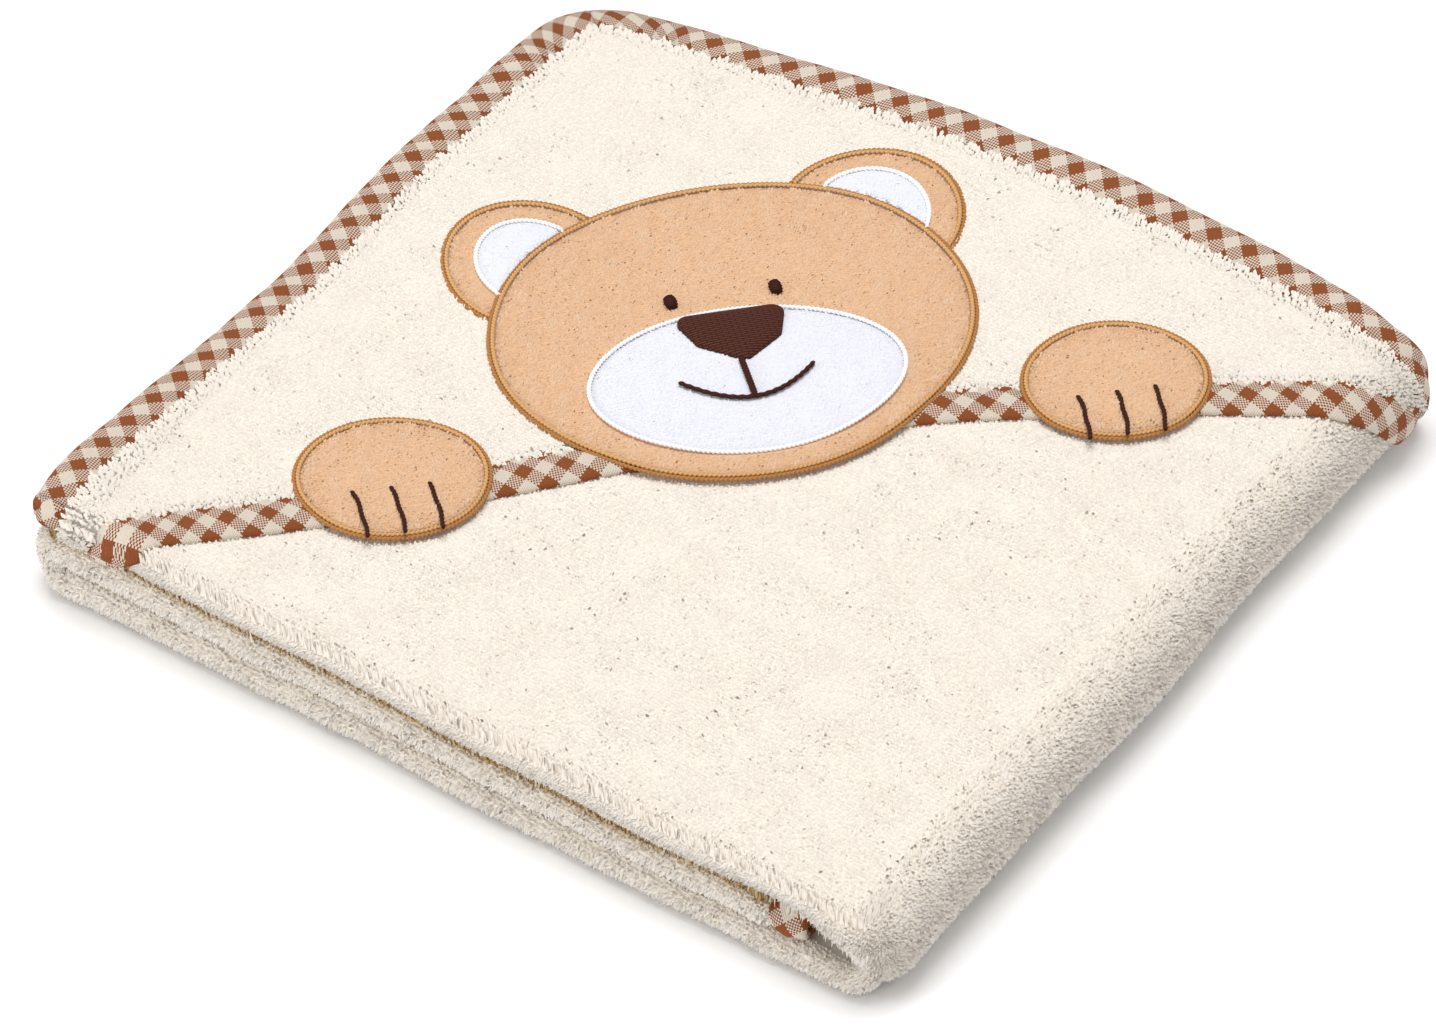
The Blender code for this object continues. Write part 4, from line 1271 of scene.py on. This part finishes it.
class TOWEL_OT_face(PieceOperator):
    """Appliqué the muzzle and embroider the nose, eyes and smile"""

    bl_idname = "object.towel_face"
    bl_label = "Face"

    def build(self):
        patch(
            "bear_muzzle", "", MUZZLE, FACE_TURN, (0.0036, 0.0042, 0.0009), "white_velour", ["muzzle_patch"],
            92, (0.0008, 0.0014), mesh=(12, 128), fluff=0.7,
        )
        border(
            "bear_muzzle_border", MUZZLE, FACE_TURN, 0.0007, 0.0047, "white_rayon_thread", ["muzzle_border"],
            radius=0.0006,
        )
        self.nose()
        centre = HEAD[0] - 0.0004
        for side, name in ((-1, "left"), (1, "right")):
            middle = centre + side * 0.0142
            line = face([(middle + 0.0009, 0.0440), (middle + 0.0009, 0.0488)])
            stroke("bear_eye_" + name, line, 0.0017, 0.0052, ["eye_" + name], 0.0012, 0.7)
        line = face([(centre - 0.0012, 0.0185), (centre - 0.0012, 0.0036)])
        stroke("bear_philtrum", line, 0.00085, 0.0061, ["philtrum"], 0.0010, 0.9)
        across = np.linspace(-0.0186, 0.0186, 40)
        smile = np.stack([centre - 0.0012 + across, 0.0036 + 0.0088 * (across / 0.0182) ** 2], axis=1)
        stroke("bear_mouth", face(smile), 0.00068, 0.0060, ["mouth"], 0.0024, 0.4)

    def nose(self):
        """The nose: rings of a rounded triangle, rising as 1 - r^6, in fill stitch."""
        outline = rounded(np.asarray(NOSE) + (HEAD[0], 0.0), 0.0034)
        middle = outline.mean(axis=0)
        rising = np.linspace(0.05, 1, 14)
        shares = np.concatenate([rising, [1.0, 0.5, 0.05]])
        heights = np.concatenate([0.0056 + 0.0010 * (1 - rising**6), [0.0044, 0.0044, 0.0044]])
        flat = middle + (outline - middle)[None] * shares[:, None, None]
        turned = face(flat.reshape(-1, 2)).reshape(flat.shape)
        s, t = to_flat(turned[..., 0], turned[..., 1])
        grid = settle(place(s, t, np.broadcast_to(heights[:, None], s.shape)))
        dress(rounds("bear_nose", grid, flat), "cocoa_rayon_fill", "top_flap", ["nose"])


class TOWEL_OT_paws(PieceOperator):
    """Appliqué the two paws and embroider their claws"""

    bl_idname = "object.towel_paws"
    bl_label = "Paws"

    def build(self):
        for number, (name, shape) in enumerate(PAWS.items()):
            side = "_" + name
            patch(
                "bear_paw", side, shape, 0.0, (0.0026, 0.0032, 0.0009), "tan_velour", ["paw" + side],
                101 + number, (0.0022, 0.0025),
                mesh=(12, 96),
            )
            satin_border("bear_paw", side, shape, 0.0, (0.0032, 0.0036), ["paw_border" + side])
            for claw in (-1, 0, 1):
                self.claw(side, shape, CLAW_LEAN[name], claw)

    def claw(self, side, shape, lean, claw):
        """One claw: a thin stroke down the paw and over its border, a little wavy and bent at its top."""
        u = shape[0] + claw * 0.0100
        start = np.array([u, shape[1] - 0.0055])
        end = np.array([u - lean * 0.0170, shape[1] - 0.0238])
        share = np.linspace(0, 1, 12)[:, None]
        line = start + (end - start) * share
        line[:, 0] += 0.00018 * np.sin(11 * share[:, 0] + claw) - 0.0014 * (1 - share[:, 0]) ** 3
        name = side + "_" + str(claw + 2)
        stroke("bear_claw" + name, line, 0.00060, 0.0046, ["claw" + name], 0.0014, 0.6)


class TOWEL_OT_stage(PieceOperator):
    """Set the floor, the light and the camera"""

    bl_idname = "object.towel_stage"
    bl_label = "Stage"

    def build(self):
        scene = bpy.context.scene
        corners = [(x, y, -0.0004) for x, y in ((-4, -4), (4, -4), (4, 4), (-4, 4))]
        floor = mesh_object("floor", corners, [np.array([[0, 1, 2, 3]])])
        made, tree, shader = new_material("white_paper_floor", 1.0, 0.0, 0.0)
        where = node(tree, "ShaderNodeTexCoord").outputs["Object"]
        grain = node(tree, "ShaderNodeTexNoise", {"Scale": 3.0}, Vector=where).outputs["Fac"]
        tree.links.new(mix(tree, grain, linear("#FDFDFE"), linear("#FFFFFF")), shader.inputs["Base Color"])
        floor.data.materials.append(made)
        world = bpy.data.worlds.new("studio")
        world.use_nodes = True
        world.node_tree.nodes["Background"].inputs[0].default_value = (1.0, 1.0, 1.0, 1.0)
        world.node_tree.nodes["Background"].inputs[1].default_value = 0.58
        scene.world = world
        self.lamp("key", (-0.06, 0.16, 2.1), 1.2, 26.0)
        self.lamp("fill", (-1.2, -1.9, 0.6), 1.3, 16.0)
        scene.view_settings.view_transform = "Standard"
        target = Vector((-0.0022, -0.0062, 0.0))
        turn, rise, away = math.radians(33.5), math.radians(42.0), 1.195
        back = Vector((math.sin(turn) * math.cos(rise), -math.cos(turn) * math.cos(rise), math.sin(rise)))
        data = bpy.data.cameras.new("camera")
        data.sensor_width = 36.0
        data.lens = 112.813
        camera = bpy.data.objects.new("camera", data)
        camera.location = target + back * away
        camera.rotation_euler = (-back).to_track_quat("-Z", "Y").to_euler()
        scene.collection.objects.link(camera)
        scene.camera = camera

    def lamp(self, name, place_at, side, power):
        """A square soft light aimed at the packet."""
        data = bpy.data.lights.new(name, "AREA")
        data.size = side
        data.energy = power
        lamp = bpy.data.objects.new(name, data)
        lamp.location = place_at
        lamp.rotation_euler = (-Vector(place_at)).to_track_quat("-Z", "Y").to_euler()
        bpy.context.scene.collection.objects.link(lamp)


STEPS = (
    TOWEL_OT_cloth,
    TOWEL_OT_hood,
    TOWEL_OT_bindings,
    TOWEL_OT_head,
    TOWEL_OT_face,
    TOWEL_OT_paws,
    TOWEL_OT_stage,
)


class TOWEL_PT_panel(bpy.types.Panel):
    """The towel's steps and settings, in the 3D view's sidebar"""

    bl_idname = "TOWEL_PT_panel"
    bl_label = "Hooded Baby Towel"
    bl_space_type = "VIEW_3D"
    bl_region_type = "UI"
    bl_category = "Towel"

    def draw(self, context):
        for step in STEPS:
            self.layout.operator(step.bl_idname)
        for group in (context.scene.towel_sizes, context.scene.towel_colours):
            box = self.layout.box()
            for name in group.bl_rna.properties.keys():
                if name not in ("rna_type", "name"):
                    box.prop(group, name)


CLASSES = (TowelSizes, TowelColours, *STEPS, TOWEL_PT_panel)


def register():
    for item in CLASSES:
        bpy.utils.register_class(item)
    bpy.types.Scene.towel_sizes = bpy.props.PointerProperty(type=TowelSizes)
    bpy.types.Scene.towel_colours = bpy.props.PointerProperty(type=TowelColours)


def unregister():
    del bpy.types.Scene.towel_colours
    del bpy.types.Scene.towel_sizes
    for item in reversed(CLASSES):
        bpy.utils.unregister_class(item)


def main():
    """Build every piece in order."""
    register()
    for step in STEPS:
        getattr(bpy.ops.object, step.bl_idname.split(".")[1])()


if __name__ == "__main__":
    main()
